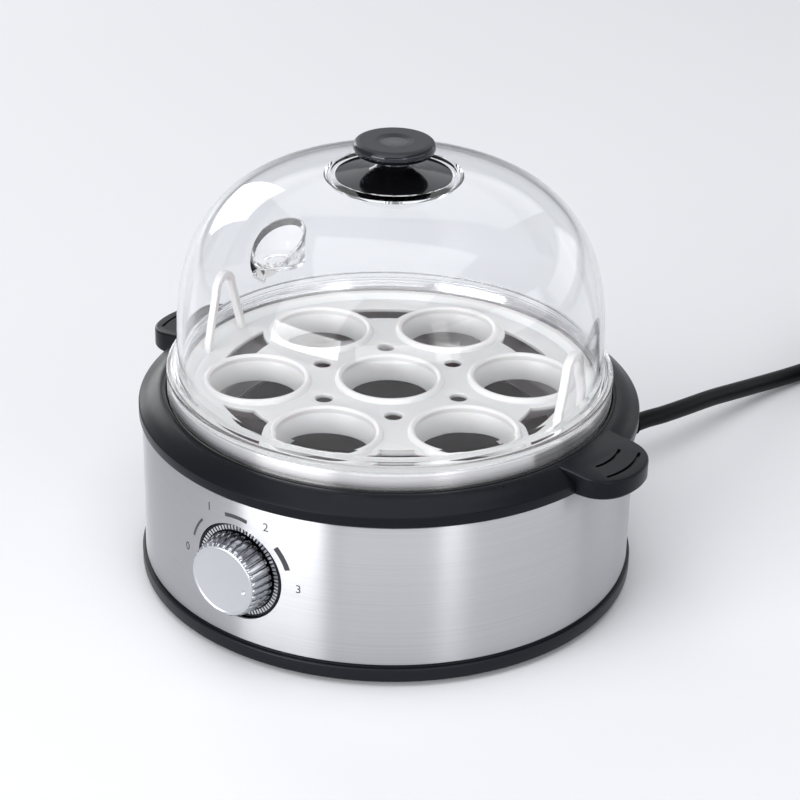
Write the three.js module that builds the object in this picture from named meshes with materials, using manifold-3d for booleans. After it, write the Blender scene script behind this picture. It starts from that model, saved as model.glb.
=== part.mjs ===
// A countertop steam boiler: a steel-banded base with a water pan, a seven-seat tray under a clear
// dome, a front dial and a mains lead. Millimetres, +Z up, the dial faces -Y, the handles lie on X.
import * as THREE from 'three';
import { mergeVertices } from 'three/addons/utils/BufferGeometryUtils.js';
import Module from 'manifold-3d';

const wasm = await Module();
wasm.setup();

// General
const fit = 0.3;
const overrun = 2;
const weldGap = 0.0001;
const ringSteps = 38;
const domeSteps = 32;
const smallSteps = 12;
const seatSteps = 12;
const boreSteps = 8;
const quarterTurn = Math.PI / 2;
const fullTurn = Math.PI * 2;

// Feet and base cover
const footHeight = 2.7;
const footRadius = 6;
const footPocketDepth = 1;
const footCircleShare = 0.7117;
const baseProud = 1.3;
const baseBandHeight = 5.5;
const baseFloor = 2.5;
const baseEdge = 0.8;
const grooveHeight = 1;
const grooveShelf = 0.3;
const spigotWall = 1.8;
const spigotHeight = 2.3;
const ventCount = 10;
const ventInner = 20;
const ventLength = 18;
const ventWidth = 3.2;

// Steel sleeve
const sleeveRadius = 91.5;
const sleeveWall = 0.8;
const sleeveHeight = 55;

// Top ring and its handles
const ringProud = 1.1;
const ringBand = 3.8;
const ringBead = 0.7;
const ringRise = 9;
const ringLipWidth = 1.3;
const ringSlopeShare = 0.45;
const ringSkin = 3.6;
const ringSpigot = 5.8;
const shelfReach = 5.5;
const shelfThickness = 2.5;
const handleLength = 14.4;
const handleHalfWidth = 16.8;
const handleTipShare = 0.62;
const handleTiltAngle = 0.1;
const handleRound = 1.6;
const handleSkin = 2.2;
const gripGrooveWidth = 1.1;
const gripGrooveDepth = 0.9;
const gripGrooveAngle = 0.32;
const gripGrooveWiderShare = 1.37;
const gripGrooveFirst = 25;
const gripGrooveSecond = 32;
const gripGrooveSetBack = 40.5;
const postRadius = 4;
const screwRadius = 1.4;
const screwBoreDepth = 12;
const screwHeadRadius = 2.9;
const screwHeadHeight = 1.2;
const screwLength = 9;

// Water pan, heating plate and their seals
const panInset = 9.5;
const panSheet = 0.8;
const panBandHeight = 6.7;
const panGap = 0.5;
const panLedge = 6.5;
const panDepth = 20.3;
const panWallDraft = 2.4;
const panFillet = 4;
const sealThickness = 0.5;
const plateInset = 12.9;
const plateFlange = 4.4;
const plateFlangeHeight = 2.6;
const plateDish = 0.9;
const plateSealHeight = 0.8;
const plateSealWidth = 3;
const studRadius = 2;
const studLength = 18;

// Heater, thermostat, fuse and the strap that clamps the pan
const elementRadius = 3.5;
const elementInset = 16.6;
const elementGapAngle = 0.36;
const elementLeg = 7;
const elementBendAngle = 0.12;
const strapThickness = 1.2;
const strapWidth = 13;
const nutRadius = 4;
const nutHeight = 3.2;
const thermostatRadius = 7.5;
const thermostatHeight = 7.2;
const thermostatRim = 1.5;
const thermostatRimHeight = 1.2;
const bladeWidth = 4;
const bladeThickness = 0.8;
const bladeLength = 12;
const fuseRadius = 2.1;
const fuseLength = 13;

// Dial, its light ring, bezel and regulator
const dialDrop = 0.5;
const dialHole = 18.4;
const dialKnobRadius = 15;
const dialFaceRadius = 13.9;
const dialKnobDepth = 9;
const dialFluteCount = 32;
const dialFluteDepth = 0.55;
const dialRimChamfer = 0.7;
const dialDishDepth = 0.3;
const dialCavityRadius = 12;
const dialFaceWall = 2;
const dialHubRadius = 5;
const dialDotRadius = 1;
const dialDotPlace = 9.3;
const dialDotDepth = 0.5;
const dialRestTurn = THREE.MathUtils.degToRad(10);
const lightRingOuter = 17;
const lightRingInner = 15.5;
const bezelWall = 0.8;
const bezelRecess = 1.3;
const bezelDepth = 5.4;
const bezelFloor = 1.2;
const bezelFlange = 2.4;
const bezelFlangeSetBack = 2.2;
const bushRadius = 4.5;
const bushLength = 5.6;
const shaftRadius = 3;
const shaftFlat = 0.6;
const shaftBed = 5;
const bushNutRadius = 6.9;
const bushNutHeight = 2.3;
const bracketSheet = 1.2;
const bracketHalfWidth = 13;
const bracketFoot = 13;
const bracketScrewPlace = 8;
const regulatorHalfWidth = 12;
const regulatorHalfHeight = 10;
const regulatorDepth = 17;
const lampRadius = 2.5;
const lampLength = 12;
const lampPlace = 13.3;
const smallScrewRadius = 1.2;
const smallScrewHead = 2.4;
const smallScrewHeadHeight = 1.4;
const smallScrewBite = 1.6;

// Tray
const trayTurn = THREE.MathUtils.degToRad(8);
const trayPlate = 1.8;
const trayRimPlay = 0.5;
const trayRimHeight = 2.4;
const trayRimWidth = 3.3;
const traySide = 0.6;
const trayPlateRise = 0.6;
const seatCount = 6;
const seatInset = 29.2;
const seatTopRadius = 18;
const seatBottomRadius = 15.2;
const seatDepth = 8;
const seatWall = 1.5;
const seatLip = 2.1;
const steamOuterShare = 0.7;
const steamInnerShare = 0.25;
const steamWeb = 5;
const steamHoleRadius = 3.6;
const loopInset = 6.7;
const loopThickness = 3;
const loopBar = 3;
const loopFootHalf = 14.5;
const loopTopRadius = 7;
const loopHeight = 29;

// Lid
const domeInset = 2.1;
const domeRise = 70.6;
const domePower = 2.93;
const domeWall = 2.2;
const domeFlangeProud = 0.2;
const domeFlangeHeight = 2;
const domeStepHeight = 2.55;
const domeSkirt = 3;
const domeSkirtWall = 1.6;
const recessRadius = 22.4;
const recessDepth = 1.7;
const steamCupRadius = 9.4;
const steamCupWall = 1.5;
const steamCupLip = 0.9;
const steamCupFloor = 1.6;
const steamCupRise = 1.4;
const steamCupHole = 4.4;
const steamCupAzimuth = THREE.MathUtils.degToRad(-99.3);
const steamCupInset = 22.4;
const lidKnobRadius = 14.75;
const lidKnobFlangeInset = 1.4;
const lidKnobNeck = 5.4;
const lidKnobHeight = 13.4;
const lidKnobDisc = 4.9;
const lidKnobDish = 6.7;
const lidKnobDishDepth = 0.9;
const lidBore = 2.3;
const lidScrewRadius = 1.9;
const lidScrewHead = 4.2;
const lidScrewHeadHeight = 2.2;
const lidScrewLength = 12;
const lidWasherRadius = 6;
const lidWasherHeight = 0.8;

// Mains lead
const cordRadius = 3.6;
const cordSides = 10;
const cordTurn = THREE.MathUtils.degToRad(-17.5);
const cordExitHeight = 17;
const cordWaypoints = [
  [43, 136.7, 16.3], [46, 152.8, 14.6], [48.4, 170.7, 12.2], [51.4, 188.3, 9.4],
  [54.5, 206.1, 6.6], [57.3, 219.2, 4.9], [60.9, 232.3, 4], [63.3, 240.5, 3.8],
];
const reliefNotch = 5.8;
const reliefNeck = 5.5;
const reliefCollar = 7.1;
const reliefCollarWidth = 2.5;
const reliefFlange = 8;
const reliefFlangeWidth = 2;
const reliefLength = 32;
const reliefRoot = 6.2;
const reliefTip = 4.5;
const cordInnerLength = 20;
const clampHalfWidth = 9;
const clampDepth = 8;
const clampCover = 2.4;
const clampSetBack = 12;
const blockWidth = 34;
const blockDepth = 14;
const blockHeight = 12;
const blockWays = 3;
const blockPitch = 10;
const blockBore = 1.9;
const blockBoreHeight = 5;
const coilInner = 30;
const coilPitch = 8.1;
const coilTurns = 3.5;
const coilStepsPerTurn = 24;
const coilSides = 6;
const coilLayerGap = 0.7;
const floorGap = 0.2;
const plugLength = 34;
const plugHalfWidth = 16;
const plugHalfHeight = 11.2;
const plugNose = 20;
const plugNoseRadius = 4.6;
const pinRadius = 2.4;
const pinLength = 19;
const pinPlace = 9.5;

// Radii worked out from the sizes above, from the sleeve inwards
const baseRadius = sleeveRadius + baseProud;
const ringRadius = sleeveRadius + ringProud;
const handleReach = ringRadius + handleLength;
const spigotRadius = sleeveRadius - sleeveWall - fit;
const spigotInner = spigotRadius - spigotWall;
const postCircle = spigotInner - postRadius - 2 * fit;
const panRadius = sleeveRadius - panInset;
const panLedgeInner = panRadius - panLedge;
const ringHole = panRadius + panGap;
const shelfInner = ringHole - shelfReach;
const strapLegPlace = shelfInner + strapThickness;
const plateRadius = panLedgeInner - plateInset;
const elementCircle = plateRadius - elementInset;
const studPlace = (thermostatRadius + thermostatRim + elementCircle - elementRadius) / 2;
const skirtOuter = panRadius - panSheet - 3 * fit;
const skirtInner = skirtOuter - domeSkirtWall;
const trayRimRadius = skirtInner - trayRimPlay;
const seatPitch = trayRimRadius - seatInset;
const steamClear = (seatPitch - steamWeb) / 2;
const steamOuter = seatPitch + steamClear * steamOuterShare;
const steamInner = seatPitch + steamClear * steamInnerShare;
const loopPlace = trayRimRadius - loopInset;
const domeStepRadius = skirtOuter;
const domeRadius = domeStepRadius - domeInset;
const domeFlangeRadius = panRadius + domeFlangeProud;
const steamCupPlace = domeRadius - steamCupInset;
const lidKnobFlange = recessRadius - lidKnobFlangeInset;

// Levels worked out from the sizes above
const zBase = footHeight + fit - footPocketDepth;
const zBaseFloor = zBase + baseFloor;
const zBaseTop = zBase + baseBandHeight;
const zSleeve = zBaseTop + grooveHeight;
const zSleeveTop = zSleeve + sleeveHeight;
const zRing = zSleeveTop + fit;
const zRingTop = zRing + ringRise;
const zLedge = zRingTop - panGap;
const zShelf = zLedge - sealThickness - 2 * fit;
const zPanRim = zLedge + panBandHeight;
const zPanFloor = zLedge - panDepth;
const zPlateFlange = zPanFloor - 2 * fit - plateSealHeight;
const zPlate = zPlateFlange - plateFlangeHeight;
const zStrap = zPlate - fit - thermostatHeight - fit;
const zTray = zLedge + panSheet + fit;
const zTrayPlate = zTray + trayPlateRise;
const zDomeFlange = zPanRim + fit;
const zDomeWall = zDomeFlange + domeFlangeHeight + domeStepHeight;
const zDomeSpring = zDomeWall + domeStepHeight;
const zRecess = zDomeSpring + domeRise - recessDepth - domeWall / 3;
const dialHeight = (zSleeve + zSleeveTop) / 2 - dialDrop;
const lampHeight = dialHeight + lampPlace;
const yBezel = -sleeveRadius + bezelRecess;
const yBezelBack = yBezel + bezelDepth;
const yBracket = yBezelBack + fit;
const yRegulator = yBracket + bracketSheet + fit;
const yKnobBack = yBezel - fit;
const yKnobFace = yKnobBack - dialKnobDepth;
const cordLow = cordRadius + floorGap;

const group = new THREE.Group();
const stand = new THREE.Group();
stand.position.y = -(yKnobFace + baseRadius) / 2;
group.add(stand);

function material(color, roughness, metalness) {
  return new THREE.MeshStandardMaterial({ color, roughness, metalness });
}

const satinBlack = material(0x2b2d31, 0.55, 0);
const glossBlack = material(0x15161a, 0.2, 0);
const rubber = material(0x1b1b1c, 0.8, 0);
const brushedSteel = material(0xc9c9cb, 0.35, 1);
const plainSteel = material(0xb4b6ba, 0.4, 1);
const silver = material(0xd4d7db, 0.3, 1);
const clear = new THREE.MeshStandardMaterial({
  color: 0xf4f6fa, roughness: 0.05, metalness: 0, transparent: true, opacity: 0.35,
});
const milky = material(0xf1f0ee, 0.45, 0);
const plateCoat = material(0x3a322e, 0.5, 0.2);
const silicone = material(0xd8d8d4, 0.7, 0);
const ceramic = material(0xe9e4da, 0.6, 0);
const amber = material(0xd9772b, 0.3, 0);

function solidVolume(position, index) {
  const a = new THREE.Vector3();
  const b = new THREE.Vector3();
  const c = new THREE.Vector3();
  let volume = 0;
  for (let i = 0; i < index.length; i += 3) {
    a.fromBufferAttribute(position, index[i]);
    b.fromBufferAttribute(position, index[i + 1]);
    c.fromBufferAttribute(position, index[i + 2]);
    volume += a.dot(b.cross(c));
  }
  return volume;
}

// Welds a geometry by position, drops the faces that collapse and turns it outwards.
function weld(source) {
  const plain = source.index ? source.toNonIndexed() : source.clone();
  plain.deleteAttribute('normal');
  plain.deleteAttribute('uv');
  plain.clearGroups();
  const welded = mergeVertices(plain, weldGap);
  const all = welded.index.array;
  const kept = [];
  for (let i = 0; i < all.length; i += 3) {
    const [a, b, c] = [all[i], all[i + 1], all[i + 2]];
    if (a !== b && b !== c && c !== a) kept.push(a, b, c);
  }
  if (solidVolume(welded.attributes.position, kept) < 0) kept.reverse();
  welded.setIndex(kept);
  return welded;
}

function toSolid(geometry) {
  const welded = weld(geometry);
  return new wasm.Manifold(new wasm.Mesh({
    numProp: 3,
    vertProperties: new Float32Array(welded.attributes.position.array),
    triVerts: new Uint32Array(welded.index.array),
  }));
}

function toGeometry(solid) {
  const mesh = solid.getMesh();
  const geometry = new THREE.BufferGeometry();
  geometry.setAttribute('position', new THREE.BufferAttribute(new Float32Array(mesh.vertProperties), 3));
  geometry.setIndex(new THREE.BufferAttribute(new Uint32Array(mesh.triVerts), 1));
  return geometry;
}

function place(name, geometry, look, parent = stand) {
  const mesh = new THREE.Mesh(weld(geometry), look.clone());
  mesh.name = name;
  parent.add(mesh);
  return mesh;
}

// Revolves [radius, height] points about Z.
function revolve(points, steps = ringSteps) {
  const profile = points.map(([r, z]) => new THREE.Vector2(r, z));
  return new THREE.LatheGeometry(profile, steps).rotateX(quarterTurn);
}

function revolveRing(points, steps = ringSteps) {
  return revolve([...points, points[0]], steps);
}

function tubeRing(inner, outer, low, high, steps = ringSteps) {
  return revolveRing([[inner, low], [outer, low], [outer, high], [inner, high]], steps);
}

function rod(radius, low, high, steps = smallSteps) {
  return revolve([[0, low], [radius, low], [radius, high], [0, high]], steps);
}

// Turns a piece built along Z so that it points out of the front, towards -Y.
function alongFront(geometry) {
  return geometry.rotateX(quarterTurn);
}

function alongBack(geometry) {
  return geometry.rotateX(-quarterTurn);
}

function box(low, high) {
  const size = high.map((value, axis) => value - low[axis]);
  const middle = high.map((value, axis) => (value + low[axis]) / 2);
  return new THREE.BoxGeometry(...size).translate(...middle);
}

function cut(body, ...tools) {
  return tools.reduce((solid, tool) => solid.subtract(toSolid(tool)), body);
}

function join(body, ...parts) {
  return parts.reduce((solid, part) => solid.add(toSolid(part)), body);
}

function around(count, start = 0) {
  return Array.from({ length: count }, (_, i) => start + i * fullTurn / count);
}

function polar(radius, angle) {
  return [radius * Math.cos(angle), radius * Math.sin(angle)];
}

// Stacks rings of equal point counts into one closed skin with flat ends.
function loft(rings) {
  const count = rings[0].length;
  const points = rings.flat();
  const faces = [];
  for (let level = 0; level + 1 < rings.length; level += 1) {
    for (let i = 0; i < count; i += 1) {
      const a = level * count + i;
      const b = level * count + (i + 1) % count;
      faces.push(a, b, b + count, a, b + count, a + count);
    }
  }
  for (const level of [0, rings.length - 1]) {
    const centre = rings[level].reduce((sum, point) => sum.add(point), new THREE.Vector3());
    points.push(centre.divideScalar(count));
    const hub = points.length - 1;
    for (let i = 0; i < count; i += 1) {
      const a = level * count + i;
      const b = level * count + (i + 1) % count;
      faces.push(...(level === 0 ? [hub, b, a] : [hub, a, b]));
    }
  }
  const geometry = new THREE.BufferGeometry().setFromPoints(points);
  geometry.setIndex(faces);
  return geometry;
}

function footPlaces() {
  return around(4, Math.PI / 4).map((angle) => polar(baseRadius * footCircleShare, angle));
}

function postPlaces() {
  return around(4, Math.PI / 4).map((angle) => polar(postCircle, angle));
}

function cordNotch() {
  const length = baseRadius + overrun;
  return alongBack(rod(reliefNotch, length / 2, length)).translate(0, 0, cordExitHeight).rotateZ(cordTurn);
}

function baseCover() {
  const shelf = sleeveRadius - grooveShelf;
  let body = toSolid(revolve([
    [0, zBase],
    [baseRadius - baseEdge, zBase],
    [baseRadius, zBase + baseEdge],
    [baseRadius, zBaseTop - baseEdge],
    [baseRadius - baseEdge, zBaseTop],
    [shelf, zBaseTop],
    [shelf, zSleeve - fit],
    [spigotRadius, zSleeve - fit],
    [spigotRadius, zSleeve + spigotHeight],
    [spigotInner, zSleeve + spigotHeight],
    [spigotInner, zBaseFloor],
    [0, zBaseFloor],
  ]));
  const slot = new THREE.Shape();
  slot.absarc(ventInner, 0, ventWidth / 2, quarterTurn, 3 * quarterTurn);
  slot.absarc(ventInner + ventLength, 0, ventWidth / 2, -quarterTurn, quarterTurn);
  const depth = baseFloor + 2 * overrun;
  for (const angle of around(ventCount, Math.PI / ventCount)) {
    const vent = new THREE.ExtrudeGeometry(slot, { depth, bevelEnabled: false, curveSegments: 2 });
    body = cut(body, vent.translate(0, 0, zBase - overrun).rotateZ(angle));
  }
  for (const [x, y] of footPlaces()) {
    const pocket = rod(footRadius + fit, zBase - overrun, zBase + footPocketDepth);
    body = cut(body, pocket.translate(x, y, 0));
  }
  for (const [x, y] of postPlaces()) {
    const pocket = rod(screwHeadRadius + fit, zBase - overrun, zBase + screwHeadHeight + 2 * fit, boreSteps);
    const bore = rod(screwRadius + fit, zBase - overrun, zBaseFloor + overrun, boreSteps);
    body = cut(body, pocket.translate(x, y, 0), bore.translate(x, y, 0));
  }
  for (const bore of smallScrewPlaces()) {
    const hole = rod(smallScrewRadius + fit, zBaseFloor - smallScrewBite - fit, zBaseFloor + overrun, boreSteps);
    body = cut(body, hole.translate(bore.x, bore.y, 0));
  }
  return toGeometry(cut(body, cordNotch()));
}

// Where small screws bite into the base floor: under the bracket, the cord clamp and the block.
function smallScrewPlaces() {
  const foot = yBracket + bracketSheet + bracketFoot * 0.6;
  const places = [-1, 1].map((side) => new THREE.Vector3(side * bracketScrewPlace, foot, 0));
  const behind = [-1, 1].map((side) => new THREE.Vector3(side * clampScrewPlace, clampMiddle, 0));
  behind.push(new THREE.Vector3(blockScrewPlace, blockMiddle, 0));
  const turned = behind.map((point) => point.applyAxisAngle(new THREE.Vector3(0, 0, 1), cordTurn));
  return [...places, ...turned];
}

function steelSleeve() {
  const body = toSolid(tubeRing(sleeveRadius - sleeveWall, sleeveRadius, zSleeve, zSleeveTop));
  const window = alongFront(rod(dialHole, sleeveRadius / 2, sleeveRadius + overrun, 40));
  return toGeometry(cut(body, window.translate(0, 0, dialHeight), cordNotch()));
}

function ringSlope(radius) {
  const start = ringHole + ringLipWidth;
  const span = ringRadius - ringBead - start;
  const share = (radius - start) / span;
  const drop = ringRise - ringBand - ringBead;
  return zRingTop - drop * (ringSlopeShare * share + (1 - ringSlopeShare) * share * share);
}

function handleShape(grow) {
  const reach = handleReach + grow;
  const half = handleHalfWidth + grow;
  const start = ringHole;
  const straight = ringRadius + (handleReach - ringRadius) * 0.1;
  const shape = new THREE.Shape();
  shape.moveTo(start, -half);
  shape.lineTo(straight, -half);
  shape.bezierCurveTo(reach - half * 0.3, -half * 0.98, reach, -half * handleTipShare, reach, 0);
  shape.bezierCurveTo(reach, half * handleTipShare, reach - half * 0.3, half * 0.98, straight, half);
  shape.lineTo(start, half);
  shape.closePath();
  return shape;
}

function gripGroove(middle, turn) {
  const shape = new THREE.Shape();
  const spread = turn * gripGrooveFirst / middle;
  shape.absarc(0, 0, middle + gripGrooveWidth / 2, -spread, spread);
  shape.absarc(0, 0, middle - gripGrooveWidth / 2, spread, -spread, true);
  return new THREE.ExtrudeGeometry(shape, {
    depth: gripGrooveDepth + overrun, bevelEnabled: false, curveSegments: 5,
  }).translate(handleReach - gripGrooveSetBack, 0, -gripGrooveDepth);
}

// One handle: a sloping tab with a rounded upper edge, hollow underneath, with two grip grooves.
function handle(side) {
  const height = zRingTop - zRing;
  const block = new THREE.ExtrudeGeometry(handleShape(-handleRound), {
    depth: height, bevelThickness: handleRound, bevelSize: handleRound, bevelSegments: 1, curveSegments: 5,
  }).translate(0, 0, -height - handleRound);
  let tab = cut(
    toSolid(block),
    gripGroove(gripGrooveFirst, gripGrooveAngle),
    gripGroove(gripGrooveSecond, gripGrooveAngle * gripGrooveWiderShare),
  );
  tab = toSolid(toGeometry(tab).translate(-ringHole, 0, 0).rotateY(handleTiltAngle).translate(ringHole, 0, zRingTop));
  const hollowShape = handleShape(-handleSkin);
  const hollow = new THREE.ExtrudeGeometry(hollowShape, {
    depth: height, bevelEnabled: false, curveSegments: 5,
  }).translate(0, 0, zRing - height + height * 0.42);
  const under = box([0, -ringRadius, zRing - 2 * height], [2 * ringRadius, ringRadius, zRing]);
  const keep = tubeRing(ringRadius + handleSkin / 2, 2 * ringRadius, zRing - height, zRingTop);
  const pocket = toSolid(hollow).intersect(toSolid(keep));
  tab = cut(tab, under).subtract(pocket);
  tab = cut(tab, rod(ringHole + ringLipWidth, zRing - overrun, zRingTop + overrun, ringSteps));
  return toSolid(toGeometry(tab).rotateZ(side > 0 ? 0 : Math.PI));
}

function topRing() {
  const lip = ringHole + ringLipWidth;
  const bandTop = zRing + ringBand;
  const slopeStart = ringRadius - ringBead;
  const slope = [0.72, 0.36, 0].map((share) => lip + (slopeStart - lip) * share);
  let body = toSolid(revolveRing([
    [ringRadius - ringBead, zRing],
    [ringRadius, zRing + ringBead],
    [ringRadius, bandTop],
    [slopeStart, bandTop + ringBead],
    ...slope.map((radius) => [radius, ringSlope(radius)]),
    [ringHole, zRingTop],
    [ringHole, zShelf],
    [shelfInner, zShelf],
    [shelfInner, zShelf - shelfThickness],
    [lip, zShelf - shelfThickness],
    [spigotInner, ringSlope(spigotInner) - ringSkin],
    [spigotInner, zRing - ringSpigot],
    [spigotRadius, zRing - ringSpigot],
    [spigotRadius, zRing],
  ]));
  body = body.add(handle(1)).add(handle(-1));
  for (const [x, y] of postPlaces()) {
    const post = rod(postRadius, zBaseFloor + fit, zShelf - shelfThickness / 2);
    const bore = rod(screwRadius + fit, zBaseFloor, zBaseFloor + fit + screwBoreDepth, boreSteps);
    body = cut(join(body, post.translate(x, y, 0)), bore.translate(x, y, 0));
  }
  return toGeometry(body);
}

function waterPan() {
  const wallTop = panLedgeInner + panSheet;
  const wallLow = wallTop - panWallDraft;
  const floorInner = plateRadius + 2 * fit;
  const outer = [
    [panRadius, zPanRim],
    [panRadius, zLedge],
    [wallTop, zLedge],
    [wallLow, zPanFloor + panFillet],
    [wallLow - panFillet, zPanFloor],
    [floorInner, zPanFloor],
  ];
  const inner = [
    [floorInner, zPanFloor + panSheet],
    [wallLow - panFillet, zPanFloor + panSheet],
    [wallLow - panSheet, zPanFloor + panFillet],
    [panLedgeInner, zLedge + panSheet],
    [panRadius - panSheet, zLedge + panSheet],
    [panRadius - panSheet, zPanRim],
  ];
  return revolveRing([...outer, ...inner]);
}

function heatingPlate() {
  const top = zPanFloor + panSheet * 0.75;
  let body = toSolid(revolve([
    [0, top - plateDish],
    [plateRadius * 0.7, top - plateDish * 0.7],
    [plateRadius * 0.96, top],
    [plateRadius, top - plateDish / 2],
    [plateRadius, zPlateFlange],
    [plateRadius + plateFlange, zPlateFlange],
    [plateRadius + plateFlange, zPlate],
    [0, zPlate],
  ], 40));
  for (const side of [-1, 1]) {
    body = join(body, rod(studRadius, zPlate - studLength, zPlate + overrun / 2, boreSteps)
      .translate(side * studPlace, 0, 0));
  }
  return toGeometry(body);
}

function plateSeal() {
  const inner = plateRadius + 2 * fit;
  return tubeRing(inner, inner + plateSealWidth, zPlateFlange + fit, zPlateFlange + fit + plateSealHeight, 40);
}

function panSeal() {
  return tubeRing(shelfInner + 2 * fit, ringHole - 2 * fit, zShelf + fit, zShelf + fit + sealThickness, 40);
}

// The sheathed heater: an open ring whose two ends turn down.
function heatingElement() {
  const z = zPlate - 2 * fit - elementRadius;
  const points = [];
  const start = quarterTurn + elementGapAngle;
  const sweep = fullTurn - 2 * elementGapAngle;
  const legAt = (angle, drop) => {
    const [x, y] = polar(elementCircle, angle);
    return new THREE.Vector3(x, y, z - drop);
  };
  points.push(legAt(start - elementBendAngle, elementLeg), legAt(start - elementBendAngle, elementLeg / 2));
  const steps = 20;
  for (let i = 0; i <= steps; i += 1) points.push(legAt(start + sweep * i / steps, 0));
  const finish = start + sweep + elementBendAngle;
  points.push(legAt(finish, elementLeg / 2), legAt(finish, elementLeg));
  const path = new THREE.CatmullRomCurve3(points);
  const section = new THREE.Shape().absarc(0, 0, elementRadius, 0, fullTurn);
  return new THREE.ExtrudeGeometry(section, { steps: 26, extrudePath: path, curveSegments: 4 });
}

// The strap that pulls the pan down: its legs bear under the ring's shelf.
function panStrap() {
  const legTop = zShelf - shelfThickness - fit;
  const low = zStrap - strapThickness;
  const legIn = strapLegPlace;
  const legOut = strapLegPlace + strapThickness;
  const shape = new THREE.Shape([
    [-legOut, low], [legOut, low], [legOut, legTop], [legIn, legTop], [legIn, zStrap],
    [-legIn, zStrap], [-legIn, legTop], [-legOut, legTop],
  ].map(([x, z]) => new THREE.Vector2(x, z)));
  const sheet = new THREE.ExtrudeGeometry(shape, { depth: strapWidth, bevelEnabled: false });
  let body = toSolid(sheet.translate(0, 0, -strapWidth / 2).rotateX(quarterTurn));
  for (const side of [-1, 1]) {
    body = cut(body, rod(studRadius + fit, low - overrun, zStrap + overrun, boreSteps)
      .translate(side * studPlace, 0, 0));
  }
  return toGeometry(body);
}

function hexNut(radius, bore, height) {
  const nut = toSolid(new THREE.CylinderGeometry(radius, radius, height, 6).rotateX(quarterTurn));
  return toGeometry(cut(nut, rod(bore, -height, height)));
}

function thermostat() {
  const top = zPlate - fit;
  const body = toSolid(revolve([
    [0, zStrap + fit],
    [thermostatRadius, zStrap + fit],
    [thermostatRadius, top - thermostatRimHeight],
    [thermostatRadius + thermostatRim, top - thermostatRimHeight],
    [thermostatRadius + thermostatRim, top],
    [0, top],
  ], smallSteps));
  const blades = [-1, 1].map((side) => {
    const near = strapWidth / 2 + fit;
    const far = thermostatRadius + bladeThickness;
    const low = [-bladeWidth / 2, Math.min(side * near, side * far), top - bladeLength - thermostatRimHeight];
    const high = [bladeWidth / 2, Math.max(side * near, side * far), top - thermostatRimHeight * 2];
    return box(low, high);
  });
  return toGeometry(join(body, ...blades));
}

function thermalFuse() {
  const taper = fuseRadius * 0.4;
  return revolve([
    [0, 0], [fuseRadius - taper, 0], [fuseRadius, taper], [fuseRadius, fuseLength - taper],
    [fuseRadius - taper, fuseLength], [0, fuseLength],
  ], boreSteps).translate(0, 0, -fuseLength / 2).rotateX(quarterTurn)
    .translate(thermostatRadius + thermostatRim + fit + fuseRadius, 0, zStrap + fit + fuseRadius);
}

function dialHoleRing(points, steps = 36) {
  return alongFront(revolveRing(points.map(([r, y]) => [r, -y]), steps)).translate(0, 0, dialHeight);
}

function dialBezel() {
  const outer = dialHole - fit;
  const inner = outer - bezelWall;
  const flangeFront = yBezel + bezelFlangeSetBack;
  const body = toSolid(dialHoleRing([
    [outer, yBezel],
    [outer, flangeFront],
    [outer + bezelFlange, flangeFront],
    [outer + bezelFlange, flangeFront + bezelFloor],
    [outer, flangeFront + bezelFloor],
    [outer, yBezelBack],
    [bushRadius + fit, yBezelBack],
    [bushRadius + fit, yBezelBack - bezelFloor],
    [inner, yBezelBack - bezelFloor],
    [inner, yBezel],
  ]));
  const lampHole = alongFront(rod(lampRadius + fit, -yBezelBack - overrun, -yBezel, boreSteps));
  return toGeometry(cut(body, lampHole.translate(0, 0, lampHeight)));
}

function lightRing() {
  const front = yBezel + fit;
  const back = yBezelBack - bezelFloor - fit;
  return dialHoleRing([
    [lightRingInner, front],
    [lightRingOuter, front],
    [lightRingOuter, back],
    [lightRingInner, back],
  ]);
}

function regulatorBracket() {
  const top = lampHeight - lampRadius - fit;
  const low = zBaseFloor + fit;
  const plate = box([-bracketHalfWidth, yBracket, low], [bracketHalfWidth, yBracket + bracketSheet, top]);
  const foot = box(
    [-bracketHalfWidth, yBracket, low],
    [bracketHalfWidth, yBracket + bracketSheet + bracketFoot, low + bracketSheet],
  );
  const bore = alongFront(rod(bushRadius + fit, -yRegulator, -yBracket + overrun)).translate(0, 0, dialHeight);
  let body = cut(join(toSolid(plate), foot), bore);
  for (const spot of smallScrewPlaces().slice(0, 2)) {
    body = cut(body, rod(smallScrewRadius + fit, 0, low + 2 * bracketSheet, boreSteps).translate(spot.x, spot.y, 0));
  }
  return toGeometry(body);
}

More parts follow.
